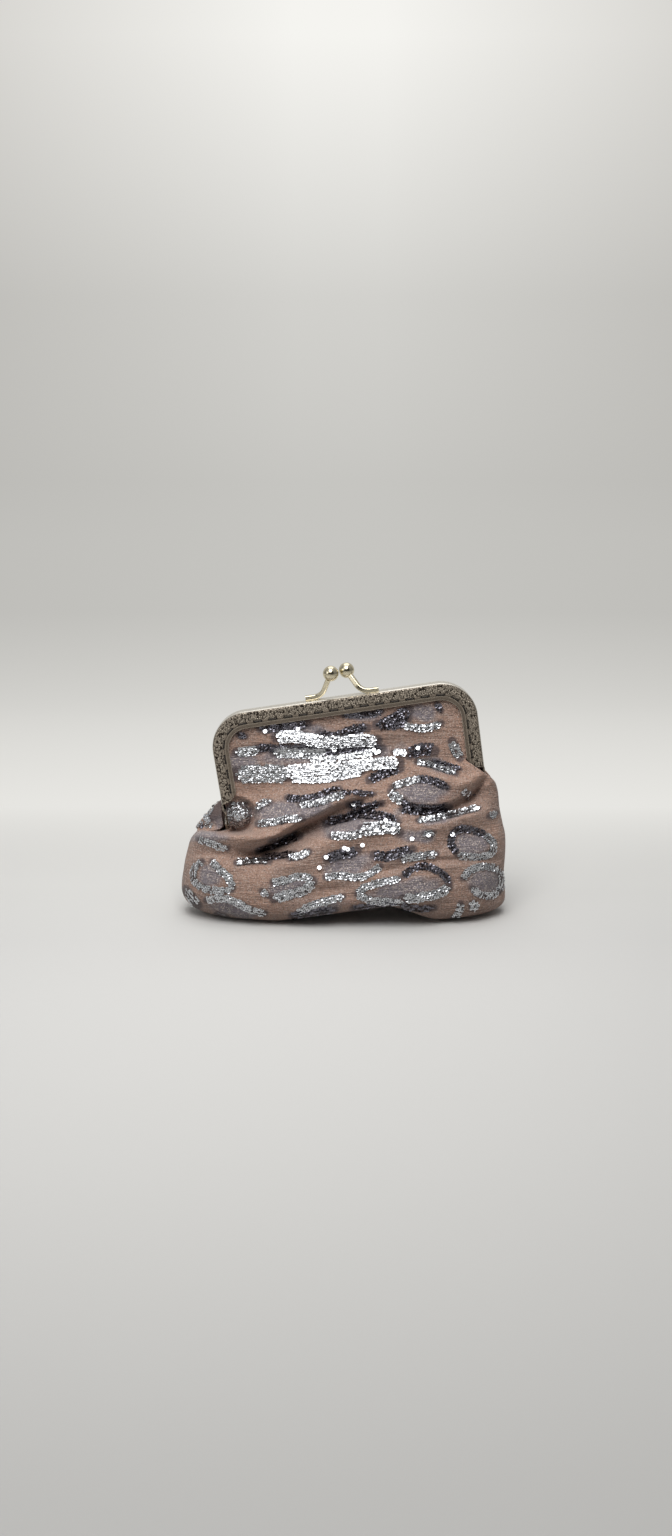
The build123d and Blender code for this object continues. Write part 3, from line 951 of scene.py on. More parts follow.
@dataclass
class ClothHalf:
    """The shape of one half of the pouch's cloth, from the frame's channel to the bottom seam, in mm."""

    side: Side
    eye: Eye
    plan: ArchPlan
    courses: tuple[Course, ...]
    folds: tuple[Fold | Dimple, ...]
    channel_inset: float = 4.5
    channel_depth: float = 3.0
    arch_lift: float = 7.2
    seed: int = 3

    def all_courses(self) -> list[Course]:
        """The courses inside the arch, then the given ones."""
        found = []
        for up in (45.4, 43.2, 39.5, 34.0, 26.5, 20.0, 16.2):
            half = self.plan.half_span(up, self.channel_inset)
            left, right = self.plan.point(-half, up), self.plan.point(half, up)
            deep = self.channel_depth
            found.append(Course((left[0], left[2], deep), (right[0], right[2], deep), deep))
        return found + list(self.courses)

    def seen(self, points: np.ndarray) -> tuple[np.ndarray, np.ndarray]:
        """Where points lie in this half's elevation: the eye's for the front, a plain one for the back."""
        if self.side is Side.FRONT:
            return self.eye.see(points)
        return points[:, 0], points[:, 2]

    def forward(self, points: np.ndarray) -> np.ndarray:
        """The unit direction in which folds push each point."""
        if self.side is Side.FRONT:
            towards = self.eye.place() - points
            return towards / np.linalg.norm(towards, axis=1)[:, None]
        back_and_up = np.array([0.0, 0.97, 0.24])
        return np.tile(back_and_up, (len(points), 1))

    def shape(self, columns: int, rows: int) -> np.ndarray:
        """Works out the cloth's surface.

        Args:
            columns: points along each level.
            rows: levels, from the clasp to the bottom seam.

        Returns:
            A (rows, columns, 3) array of places in mm.
        """
        table = np.array([[*c.left, *c.right, c.belly, c.full, c.wrap] for c in self.all_courses()])
        line = smooth_line(table, 24)
        steps = np.hypot(np.diff(line[:, 2] + line[:, 6]), np.diff(line[:, 1] + line[:, 4]))
        steps = steps + np.hypot(np.diff(line[:, 0]), np.diff(line[:, 1]))
        gone = np.concatenate([[0], np.cumsum(steps)])
        gone /= gone[-1]
        levels = np.linspace(0, 1, rows)
        courses = np.stack([np.interp(levels, gone, line[:, k]) for k in range(line.shape[1])], 1)
        s = np.linspace(-1, 1, columns)
        # closer together at the ends, where the cloth turns to the seam
        crowding = 0.72
        s = np.sin(s * math.pi / 2 * crowding) / math.sin(math.pi / 2 * crowding)
        left, right = courses[:, None, 0:3], courses[:, None, 3:6]
        share = (s[None, :, None] + 1) / 2
        ends = left * (1 - share) + right * share
        roundness = 0.55
        crown = (1 - np.abs(s[None, :]) ** courses[:, None, 7]) ** roundness
        depth = ends[..., 2] + (courses[:, None, 6] - ends[..., 2]) * crown
        # the part of a line, from its left end, that wraps round the arm
        wrapped = 0.16
        swell = courses[:, None, 8] * np.sin(math.pi * np.clip((1 + s[None, :]) / wrapped, 0, 1))
        points = np.stack([ends[..., 0] - swell, self.side.value * depth, ends[..., 1]], -1).reshape(-1, 3)
        points = self.lift_arch(points)
        across, up = self.seen(points)
        push = sum(fold.rise(across, up) for fold in self.folds)
        push = push + self.wrinkles(points)
        push *= smoothstep(1 - np.abs(np.tile(s, rows)), 0.0, 0.05)
        points = points + self.forward(points) * push[:, None]
        return self.keep_in_channel(points).reshape(rows, columns, 3)

    def lift_arch(self, points: np.ndarray) -> np.ndarray:
        """Lifts the middle of the bottom off the table, as the slumped pouch's does."""
        x, z = points[:, 0], points[:, 2]
        rising = np.clip((x + 30) / 50, 0, 1) * (1 - smoothstep(x, 19, 44))
        lift = self.arch_lift * rising * (1 - smoothstep(z, 0, 16))
        lifted = points.copy()
        lifted[:, 2] += lift
        return lifted

    def wrinkles(self, points: np.ndarray) -> np.ndarray:
        """Small random wrinkles, longer across the cloth than up it."""
        lean = math.radians(10)
        found = np.empty(len(points))
        for i, (x, y, z) in enumerate(points):
            a, b = x * math.cos(lean) + z * math.sin(lean), z * math.cos(lean) - x * math.sin(lean)
            coarse = noise.noise(Vector((a / 26 + self.seed, y / 30, b / 8)))
            fine = noise.noise(Vector((a / 9 + self.seed, y / 12, b / 2.6)))
            found[i] = 1.1 * coarse + 0.35 * fine
        loose = 0.35 + 0.65 * (1 - smoothstep(self.plan.measure(points)[1], 8, 22))
        return found * loose

    def keep_in_channel(self, points: np.ndarray) -> np.ndarray:
        """Holds the cloth's edge between the frame's two sheets, and the rest clear of the other half.

        Args:
            points: an (n, 3) array in mm.

        Returns:
            The points, moved where they have to be.
        """
        # in mm: in from the frame's edge, up the arch, out from the middle plane, and off the table
        channel_end = (7.4, 9.4)
        channel_start = (13.5, 16.5)
        most_depth = 3.4
        least_depth = 1.9
        least_height = 0.25
        inset = self.plan.inset(points)
        up = self.plan.measure(points)[1]
        depth = points[:, 1] * self.side.value
        under = (1 - smoothstep(inset, *channel_end)) * smoothstep(up, *channel_start)
        held = np.minimum(depth, most_depth)
        depth = depth * (1 - under) + held * under
        inside = np.clip((inset - 0.8) * 4, 0, 1) * np.clip(up * 4, 0, 1)
        depth = depth * (1 - inside) + np.maximum(depth, least_depth) * inside
        kept = points.copy()
        kept[:, 1] = depth * self.side.value
        kept[:, 2] = np.maximum(kept[:, 2], least_height)
        return kept


def grid_bmesh(points: np.ndarray, side: Side, inward: bool = False) -> bmesh.types.BMesh:
    """Lays a grid on a surface.

    Args:
        points: a (rows, columns, 3) array in mm.
        side: the half that the surface belongs to.
        inward: whether its faces look into the purse.

    Returns:
        The new bmesh, in metres.
    """
    rows, columns = points.shape[:2]
    bm = bmesh.new()
    bmesh.ops.create_grid(bm, x_segments=columns - 1, y_segments=rows - 1, size=1.0)
    for vert in bm.verts:
        column = round((vert.co.x + 1) / 2 * (columns - 1))
        row = round((1 - vert.co.y) / 2 * (rows - 1))
        vert.co = Vector(points[row, column]) * MM
    bm.normal_update()
    outward = sum(face.normal.y * face.calc_area() for face in bm.faces) * side.value > 0
    if outward == inward:
        bmesh.ops.reverse_faces(bm, faces=bm.faces)
    bm.normal_update()
    return bm


@dataclass
class PouchCloth:
    """One half of the pouch's outer cloth, sewn into the frame's channel and to the other half."""

    half: ClothHalf
    patches: tuple[Patch, ...]
    bands: tuple[Row, ...]
    finish: bpy.types.Material
    thickness: float = 0.6
    columns: int = 215
    rows: int = 180
    surface: BVHTree | None = field(default=None, init=False)

    def build(self) -> bpy.types.Object:
        side = self.half.side
        points = self.half.shape(self.columns, self.rows)
        bm = grid_bmesh(points, side)
        self.surface = BVHTree.FromBMesh(bm)
        self.mark_rosettes(bm)
        area = sum(face.calc_area() for face in bm.faces)
        LOG.info("%s cloth area %.4f m2", side.word, area)
        piece = new_piece(f"{side.word}_cloth", bm, [self.finish])
        wall = piece.modifiers.new("thickness", "SOLIDIFY")
        wall.thickness = self.thickness * MM
        wall.offset = -1
        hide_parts(f"{side.word}_pouch_cloth", f"{side.word}_outer_panel")
        f"{side.word}_half"
        self.half.plan.blend_ends()
        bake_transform(piece)
        f"{side.word}_frame"
        return piece

    def mark_rosettes(self, bm: bmesh.types.BMesh) -> None:
        """Writes how far each point of the cloth is inside a rosette, and under a band of sequins."""
        layer = bm.verts.layers.float.new("rosette")
        under = bm.verts.layers.float.new("sewn")
        verts = list(bm.verts)
        points = np.array([v.co for v in verts]) / MM
        across, up = self.half.seen(points)
        wobble = np.array([noise.noise(Vector((a / 5, b / 5, 7.0))) for a, b in zip(across, up)])
        inside = np.zeros(len(verts))
        for patch in self.patches:
            turn = math.radians(patch.turn)
            x, z = across - patch.centre[0], up - patch.centre[1]
            a = (x * math.cos(turn) + z * math.sin(turn)) / patch.radii[0]
            b = (z * math.cos(turn) - x * math.sin(turn)) / patch.radii[1]
            inside = np.maximum(inside, 1 - smoothstep(np.hypot(a, b) + 0.35 * wobble, 0.6, 1.25))
        # the sewn mask: how far each point lies under a band of sequins, where the ground gets painted shade
        sewn = np.zeros(len(verts))
        for row in self.bands:
            path = smooth_line(np.array(row.line), 6)
            away = np.hypot(across[:, None] - path[None, :, 0], up[:, None] - path[None, :, 1]).min(axis=1)
            sewn = np.maximum(sewn, 1 - smoothstep(away, row.width / 2 - 0.7, row.width / 2 + 0.5))
        for vert, share, cover in zip(verts, inside, sewn):
            vert[layer] = float(share)
            vert[under] = float(cover)


@dataclass
class Lining:
    """One half of the satin lining, just inside its outer cloth."""

    half: ClothHalf
    finish: bpy.types.Material
    gap: float = 1.5
    thickness: float = 0.3
    # how much lower than its cloth's its blend points are worked out, in mm
    lower: float = 4.0
    columns: int = 120
    rows: int = 96

    def build(self) -> bpy.types.Object:
        side = self.half.side
        points = self.half.shape(self.columns, self.rows)
        across, down = np.gradient(points, axis=1), np.gradient(points, axis=0)
        normal = np.cross(across, down)
        normal /= np.maximum(np.linalg.norm(normal, axis=2, keepdims=True), 1e-9)
        if (normal[..., 1] * side.value).mean() > 0:
            normal = -normal
        inner = points + normal * self.gap
        inner[..., 1] = side.value * np.maximum(inner[..., 1] * side.value, 0.35)
        inner[..., 2] = np.maximum(inner[..., 2], 1.2)
        piece = new_piece(f"{side.word}_satin_lining", grid_bmesh(inner, side, inward=True), [self.finish])
        wall = piece.modifiers.new("thickness", "SOLIDIFY")
        wall.thickness = self.thickness * MM
        wall.offset = 0
        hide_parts(f"{side.word}_pouch_lining", f"{side.word}_lining_panel")
        f"{side.word}_half"
        self.half.plan.blend_ends(self.lower)
        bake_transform(piece)
        f"{side.word}_cloth"
        return piece


# ---------------------------------------------------------------- the sequin print

S, G = Tone.SILVER, Tone.GUNMETAL
FRONT_ROWS = (
    Row(((-48.0, 81.5), (-44.8, 80.8)), 3.3, G),
    Row(((-38.0, 84.3), (-32.0, 85.0), (-26.0, 84.5), (-20.0, 86.2), (-16.5, 86.5)), 4.5, G),
    Row(((-11.0, 82.0), (-6.5, 80.5), (-1.0, 81.5), (5.0, 84.0), (10.5, 84.5)), 4.5, G),
    Row(
        (
            (-31.0, 80.3),
            (-22.0, 80.8),
            (-13.0, 79.0),
            (-4.0, 78.2),
            (6.0, 79.2),
            (15.0, 79.0),
        ),
        5.2,
        S,
        0.9,
        scale=0.8,
    ),
    Row(((-49.0, 73.6), (-44.0, 74.0), (-38.5, 74.6)), 4.5, S, 0.2, scale=0.8),
    Row(((-40.0, 75.6), (-35.0, 75.8), (-30.0, 75.2)), 3.8, G, 0.1, scale=0.8),
    Row(((-32.0, 73.8), (-20.0, 73.4), (-8.0, 73.8)), 5.0, S, 0.0, scale=0.8),
    Row(((-30.0, 76.4), (-18.0, 76.2), (-9.0, 76.0)), 2.0, G, 0.1, scale=0.8),
    Row(((-9.0, 74.4), (0.0, 75.2), (8.0, 76.0), (17.0, 75.2)), 4.6, G, 0.15, scale=0.8),
    Row(((9.0, 73.8), (16.0, 73.2)), 2.6, S, 0.7),
    Row(((-48.8, 63.6), (-37.0, 64.0), (-25.0, 63.8)), 7.6, S, 0.35, scale=0.8),
    Row(
        (
            (-27.0, 65.2),
            (-16.0, 65.8),
            (-5.0, 66.4),
            (6.0, 67.6),
            (16.0, 68.6),
            (25.0, 68.8),
        ),
        5.4,
        S,
        0.9,
        scale=0.8,
    ),
    Row(((-24.0, 61.8), (-13.0, 61.0), (-2.0, 62.4), (8.0, 64.8)), 3.8, S, 0.9, scale=0.8),
    Row(((-15.0, 69.8), (-4.0, 70.8), (6.0, 72.2), (13.0, 72.2)), 2.6, S, 0.85, scale=0.8),
    Row(((11.5, 61.0), (16.0, 63.0), (21.0, 65.0), (25.5, 66.3)), 4.5, G),
    Row(((15.0, 86.0), (20.0, 87.0), (25.0, 90.0), (29.5, 92.5)), 5.3, G),
    Row(((19.0, 85.6), (25.0, 86.6), (29.0, 89.0)), 4.5, G),
    Row(((27.0, 86.0), (33.0, 84.6), (39.0, 85.0), (44.0, 86.8)), 3.6, S, 0.5),
    Row(((22.4, 73.6), (28.2, 73.2)), 3.0, S, 0.75),
    Row(((42.0, 95.5), (44.0, 92.5)), 3.3, G),
    Row(((29.5, 72.5), (33.0, 74.5), (37.0, 75.2), (41.0, 74.2)), 5.3, G),
    Row(((33.0, 69.2), (39.0, 67.8), (45.0, 66.0), (51.0, 64.0)), 3.3, S),
    Row(((40.0, 69.6), (46.0, 68.0), (53.0, 66.0)), 2.0, G),
    Row(((49.0, 78.5), (50.5, 75.0), (52.5, 71.0)), 4.5, S),
    Row(((0.0, 90.5), (6.0, 90.8), (12.0, 91.2), (17.0, 92.2)), 3.3, G),
    Row(((-26.0, 53.0), (-21.0, 52.3), (-15.0, 52.8), (-9.0, 54.8), (-2.0, 57.0)), 3.3, G),
    Row(((-20.0, 49.6), (-13.0, 50.2), (-7.0, 52.2), (0.0, 54.4)), 3.3, S),
    Row(((22.0, 58.0), (28.0, 60.0), (35.0, 61.5)), 3.3, S),
    Row(((33.0, 61.4), (38.0, 61.2), (43.0, 59.8), (47.0, 57.5)), 3.3, G),
    Row(((21.5, 56.0), (23.5, 52.8), (27.0, 51.4)), 4.5, S),
    Row(((26.0, 50.4), (33.0, 48.6), (40.0, 48.2), (46.0, 49.4)), 3.3, G),
    Row(((-8.0, 41.5), (0.0, 43.6), (8.0, 45.2), (16.0, 44.6), (24.0, 42.0)), 4.5, G),
    Row(((3.0, 46.6), (10.0, 48.6), (17.0, 50.4)), 3.8, G),
    Row(((8.0, 38.4), (15.0, 39.0), (22.0, 39.4), (25.0, 37.2)), 5.0, S, 0.45),
    Row(((-6.0, 35.4), (2.0, 35.8), (9.0, 36.8)), 3.3, S, 0.3),
    Row(((36.0, 36.6), (41.0, 37.4)), 2.4, S, 0.6),
    Row(((-34.0, 33.2), (-29.0, 34.4), (-22.0, 37.0)), 2.0, S),
    Row(((-39.0, 29.0), (-30.0, 31.6), (-20.0, 35.4)), 3.3, G),
    Row(((2.0, 49.6), (8.0, 50.6)), 3.3, G),
    Row(((-2.0, 55.4), (6.0, 55.2), (14.0, 54.6)), 2.0, G),
    Row(((-49.0, 23.4), (-42.0, 24.0), (-34.0, 24.0)), 3.3, S, 0.25),
    Row(((-36.0, 25.7), (-29.0, 26.5), (-22.0, 27.5)), 3.8, G, 0.15),
    Row(((-25.0, 25.6), (-20.0, 26.4), (-16.0, 28.5)), 3.8, S, 0.2),
    Row(((-8.0, 25.5), (-3.0, 27.0), (3.0, 28.0), (6.0, 29.0)), 4.5, G),
    Row(((-8.5, 16.8), (-2.0, 17.5), (6.0, 16.8), (12.0, 18.5), (16.5, 22.0)), 3.3, S),
    Row(((13.5, 27.0), (19.0, 26.2), (25.0, 28.0), (31.0, 29.5)), 4.5, G),
    Row(((26.0, 25.2), (33.0, 26.3), (42.0, 27.5)), 3.3, S),
    Row(((51.0, 28.0), (48.5, 32.0), (49.5, 37.0), (54.0, 39.0), (60.0, 37.8), (64.0, 36.0)), 3.3, G),
    Row(((64.0, 36.0), (67.5, 32.5), (67.0, 28.0), (62.0, 26.2), (55.0, 26.2), (51.5, 27.0)), 3.3, S),
    Row(
        (
            (54.0, 16.5),
            (57.0, 20.0),
            (63.0, 21.8),
            (69.0, 20.5),
            (71.3, 16.0),
            (70.5, 11.0),
            (66.0, 8.5),
            (61.0, 9.5),
            (58.0, 12.0),
        ),
        3.3,
        S,
    ),
    Row(((6.0, 9.5), (10.0, 12.5), (17.0, 14.5), (25.0, 16.0)), 3.3, S),
    Row(((27.0, 17.5), (32.0, 21.0), (39.0, 21.3), (45.0, 18.0), (48.0, 14.0)), 3.3, G),
    Row(((47.5, 12.5), (43.0, 9.5), (35.0, 7.8), (27.0, 7.0)), 4.5, S),
    Row(((6.0, 9.0), (12.0, 6.5), (20.0, 5.8), (27.0, 5.5)), 3.3, S),
    Row(((-64.5, 24.0), (-68.0, 20.5), (-68.0, 15.5), (-64.0, 12.0), (-57.0, 10.8), (-51.0, 11.0)), 3.3, S),
    Row(((-60.0, 24.0), (-56.5, 20.5), (-52.5, 16.5), (-50.5, 12.0)), 3.3, S),
    Row(((-32.5, 14.5), (-27.0, 15.5), (-20.0, 17.3), (-14.0, 16.0)), 3.3, S),
    Row(((-14.0, 15.0), (-18.0, 11.0), (-25.0, 9.0), (-32.0, 7.0)), 4.5, S),
    Row(((-37.5, 10.5), (-34.0, 8.3)), 3.3, S),
    Row(((-72.0, 11.0), (-69.0, 7.5), (-66.5, 4.0)), 4.5, S),
    Row(((-62.5, 6.5), (-55.0, 7.5), (-48.0, 5.0), (-42.0, 2.0), (-36.0, 0.5)), 3.3, S),
    Row(((-58.0, 0.0), (-53.5, -1.5)), 3.3, S),
    Row(((-21.0, 0.5), (-15.0, 4.0), (-8.0, 6.0), (-0.5, 8.0)), 3.3, S),
    Row(((57.0, 4.0), (58.7, 5.6), (60.4, 3.8), (58.7, 2.1), (57.2, 3.6)), 2.0, S),
    Row(((53.0, 5.0), (52.0, 1.0), (49.5, -2.0)), 3.3, S),
    Row(((26.0, 4.2), (33.0, 2.6), (41.0, 3.0)), 3.3, G),
    Row(((-24.0, -0.8), (-14.0, 1.0), (-4.0, 2.2)), 3.4, G),
    Row(((4.0, 2.6), (14.0, 3.8), (24.0, 5.2)), 3.3, G),
    Row(((-66.0, 34.0), (-60.0, 32.0), (-53.0, 29.8)), 3.3, S),
    Row(((-39.0, 41.0), (-32.0, 41.8), (-26.0, 43.0), (-19.0, 43.6)), 3.8, S),
    Row(((-38.6, 47.6), (-38.0, 50.0), (-33.5, 51.0)), 3.0, S),
    Row(((33.5, 42.6), (41.0, 43.2), (50.0, 45.4), (61.0, 48.2)), 3.0, S, 0.4),
    Row(((26.0, 47.6), (33.0, 46.4), (40.0, 46.6), (48.0, 48.6)), 3.3, G),
    Row(((53.6, 54.4), (55.2, 56.0), (56.8, 54.2), (55.2, 52.6)), 2.0, S),
    Row(((66.0, 44.5), (69.0, 46.0)), 3.3, S),
    Row(((-52.6, 42.4), (-48.2, 40.6), (-43.6, 42.4)), 2.4, S, 0.15, False, 0.72),
    Row(((-53.0, 44.8), (-48.2, 43.6), (-43.0, 44.8)), 2.4, S, 0.15, False, 0.72),
    Row(((-52.8, 47.4), (-48.2, 46.8), (-43.0, 47.4)), 3.3, S, 0.1, False, 0.72),
    Row(((-51.0, 50.0), (-47.8, 49.8), (-44.4, 50.0)), 2.4, S, 0.15, False, 0.72),
)
# the few larger sequins that flash white
FRONT_GLINTS = (
    (-21.0, 84.2),
    (-36.0, 83.4),
    (-19.8, 72.4),
    (-4.6, 74.9),
    (13.4, 74.4),
    (15.3, 73.8),
    (26.0, 73.4),
    (33.5, 75.4),
    (28.6, 85.4),
    (4.2, 50.0),
    (14.4, 38.4),
    (19.0, 42.2),
    (22.0, 38.8),
    (0.0, 30.2),
    (1.6, 29.6),
    (8.0, 31.4),
    (30.8, 34.2),
    (38.4, 36.4),
    (-8.2, 26.0),
    (-11.6, 21.4),
    (-47.5, 23.3),
    (60.0, 47.8),
    (49.2, 37.0),
)
FRONT_PATCHES = (
    Patch((36.0, 91.5), (7.0, 4.0)),
    Patch((-48.0, 45.2), (6.6, 6.6)),
    Patch((8.0, 90.5), (9.0, 2.5)),
    Patch((-20.0, 83.5), (14.0, 3.0)),
    Patch((-12.0, 73.0), (36.0, 5.0), 3),
    Patch((-46.0, 69.0), (9.0, 5.0)),
    Patch((36.0, 55.0), (13.0, 5.5)),
    Patch((-30.0, 46.5), (12.0, 5.5), 8),
    Patch((-14.0, 47.5), (10.0, 3.5), 25),
    Patch((6.0, 41.0), (22.0, 4.5), 10),
    Patch((34.0, 35.5), (9.0, 3.0)),
    Patch((2.0, 22.5), (12.0, 5.0), 10),
    Patch((58.0, 32.0), (8.5, 6.0)),
    Patch((64.0, 15.0), (8.0, 6.0)),
    Patch((28.0, 11.5), (18.0, 4.5), 10),
    Patch((-61.0, 17.0), (6.0, 5.0)),
    Patch((-25.0, 12.5), (10.0, 3.8), 12),
    Patch((-50.0, 2.0), (12.0, 3.5), -12),
    Patch((-10.0, 2.0), (10.0, 3.0), 15),
    Patch((-62.0, 35.0), (9.0, 3.0)),
    Patch((44.0, 44.0), (8.0, 3.0), 12),
    Patch((42.0, 68.0), (9.0, 3.0), -18),
)
# bands of the back half that show from the front, on the shoulder outside the left arm
SHOULDER_ROWS = (
    Row(((-59.5, 50.0), (-61.5, 47.0), (-63.5, 43.5)), 3.4, S, 0.0, True, 0.8),
    Row(((-65.0, 43.6), (-68.0, 40.0), (-70.0, 37.0)), 4.4, S, 0.0, True, 0.8),
    Row(((-60.0, 39.4), (-62.4, 42.0), (-61.0, 45.0)), 3.6, S, 0.15, True, 0.8),
    Row(((-65.5, 39.0), (-64.0, 41.4)), 2.4, G, 0.0, True, 0.8),
)
BACK_ROWS = SHOULDER_ROWS + tuple(
    Row(line, 1.35 * bands + 0.4, tone)
    for line, bands, tone in (
        (((-44.0, 84.0), (-36.0, 86.5), (-26.0, 86.0), (-18.0, 83.5)), 3, G),
        (((-40.0, 77.0), (-28.0, 75.5), (-14.0, 76.5), (-2.0, 79.0)), 4, S),
        (((-8.0, 89.0), (2.0, 90.5), (12.0, 89.5), (18.0, 86.5)), 2, S),
        (((4.0, 80.0), (14.0, 78.0), (24.0, 80.0), (32.0, 84.0)), 3, G),
        (((26.0, 93.0), (34.0, 96.0), (42.0, 94.5)), 2, G),
        (((28.0, 90.0), (36.0, 89.0), (43.0, 90.5)), 2, S),
        (((-46.0, 66.0), (-34.0, 67.5), (-20.0, 66.0), (-8.0, 67.5)), 5, S),
        (((0.0, 67.0), (10.0, 70.0), (22.0, 71.0), (30.0, 69.0)), 2, S),
        (((2.0, 63.5), (12.0, 61.5), (24.0, 63.0), (31.0, 66.5)), 2, G),
        (((38.0, 78.0), (44.0, 80.5), (50.0, 78.5)), 2, S),
        (((38.0, 74.0), (45.0, 72.0), (51.0, 74.5)), 2, G),
        (((-44.0, 57.0), (-34.0, 55.0), (-22.0, 56.5)), 3, G),
        (((-14.0, 55.0), (-4.0, 52.5), (8.0, 53.5), (16.0, 56.5)), 2, S),
        (((40.0, 62.0), (48.0, 64.0), (56.0, 62.0)), 3, S),
        (((38.0, 57.0), (46.0, 55.0), (56.0, 56.5)), 2, G),
        (((-62.0, 44.0), (-56.0, 47.0), (-48.0, 46.0)), 3, S),
        (((-60.0, 47.5), (-56.0, 51.0)), 2, G),
        (((-54.0, 40.0), (-46.0, 37.5), (-38.0, 39.0)), 2, G),
        (((-30.0, 47.0), (-20.0, 48.5), (-10.0, 46.5)), 3, G),
        (((-4.0, 44.0), (6.0, 47.0), (16.0, 46.0), (22.0, 42.0)), 2, S),
        (((-2.0, 40.0), (8.0, 38.0), (18.0, 38.5)), 2, S),
        (((30.0, 47.0), (40.0, 49.0), (50.0, 47.0), (56.0, 43.0)), 2, S),
        (((32.0, 42.0), (42.0, 40.0), (53.0, 40.5)), 3, G),
        (((-68.0, 30.0), (-62.0, 34.0), (-54.0, 32.5), (-50.0, 28.0)), 2, S),
        (((-66.0, 25.0), (-58.0, 22.5), (-51.0, 24.5)), 2, G),
        (((-42.0, 30.0), (-32.0, 33.0), (-22.0, 31.5)), 3, S),
        (((-40.0, 24.5), (-30.0, 23.0), (-20.0, 25.5)), 2, S),
        (((-12.0, 32.0), (-4.0, 30.0), (6.0, 31.5)), 3, G),
        (((14.0, 31.0), (24.0, 34.0), (34.0, 32.0)), 2, S),
        (((16.0, 26.0), (26.0, 24.0), (35.0, 26.5)), 3, S),
        (((44.0, 33.0), (54.0, 35.0), (63.0, 33.0), (66.0, 28.0)), 2, G),
        (((44.0, 28.0), (54.0, 25.5), (63.0, 25.0)), 2, S),
        (((-70.0, 14.0), (-64.0, 17.5), (-56.0, 16.5)), 2, S),
        (((-68.0, 9.0), (-60.0, 7.0), (-52.0, 9.5)), 2, S),
        (((-44.0, 15.0), (-34.0, 17.0), (-26.0, 14.0)), 2, S),
        (((-42.0, 9.0), (-34.0, 7.5), (-26.0, 9.0)), 3, G),
        (((-16.0, 20.0), (-6.0, 22.0), (4.0, 19.5)), 2, S),
        (((-14.0, 12.5), (-4.0, 11.5), (6.0, 13.0)), 2, S),
        (((14.0, 16.0), (24.0, 19.0), (36.0, 17.0), (40.0, 12.5)), 2, S),
        (((16.0, 11.0), (26.0, 8.5), (38.0, 9.0)), 3, S),
        (((50.0, 17.0), (58.0, 19.5), (67.0, 16.5)), 2, S),
        (((50.0, 11.5), (58.0, 8.5), (67.0, 10.0)), 2, G),
    )
)
BACK_PATCHES = (
    Patch((-18.0, 80.5), (22.0, 3.5)),
    Patch((35.0, 93.0), (7.0, 3.0)),
    Patch((15.0, 67.0), (13.0, 4.0)),
    Patch((44.0, 76.5), (7.0, 3.0)),
    Patch((-24.0, 61.0), (20.0, 4.0)),
    Patch((47.0, 59.5), (10.0, 3.5)),
    Patch((-52.0, 43.5), (10.0, 4.0)),
    Patch((8.0, 42.5), (13.0, 4.0)),
    Patch((44.0, 44.5), (12.0, 4.0)),
    Patch((-59.0, 28.0), (9.0, 4.5)),
    Patch((-31.0, 28.0), (11.0, 4.0)),
    Patch((25.0, 29.0), (11.0, 4.0)),
    Patch((55.0, 30.0), (10.0, 4.0)),
    Patch((-60.0, 12.0), (9.0, 4.0)),
    Patch((-35.0, 12.5), (9.0, 3.5)),
    Patch((-5.0, 16.5), (11.0, 3.5)),
    Patch((27.0, 13.5), (12.0, 4.0)),
    Patch((58.0, 14.0), (9.0, 4.0)),
)


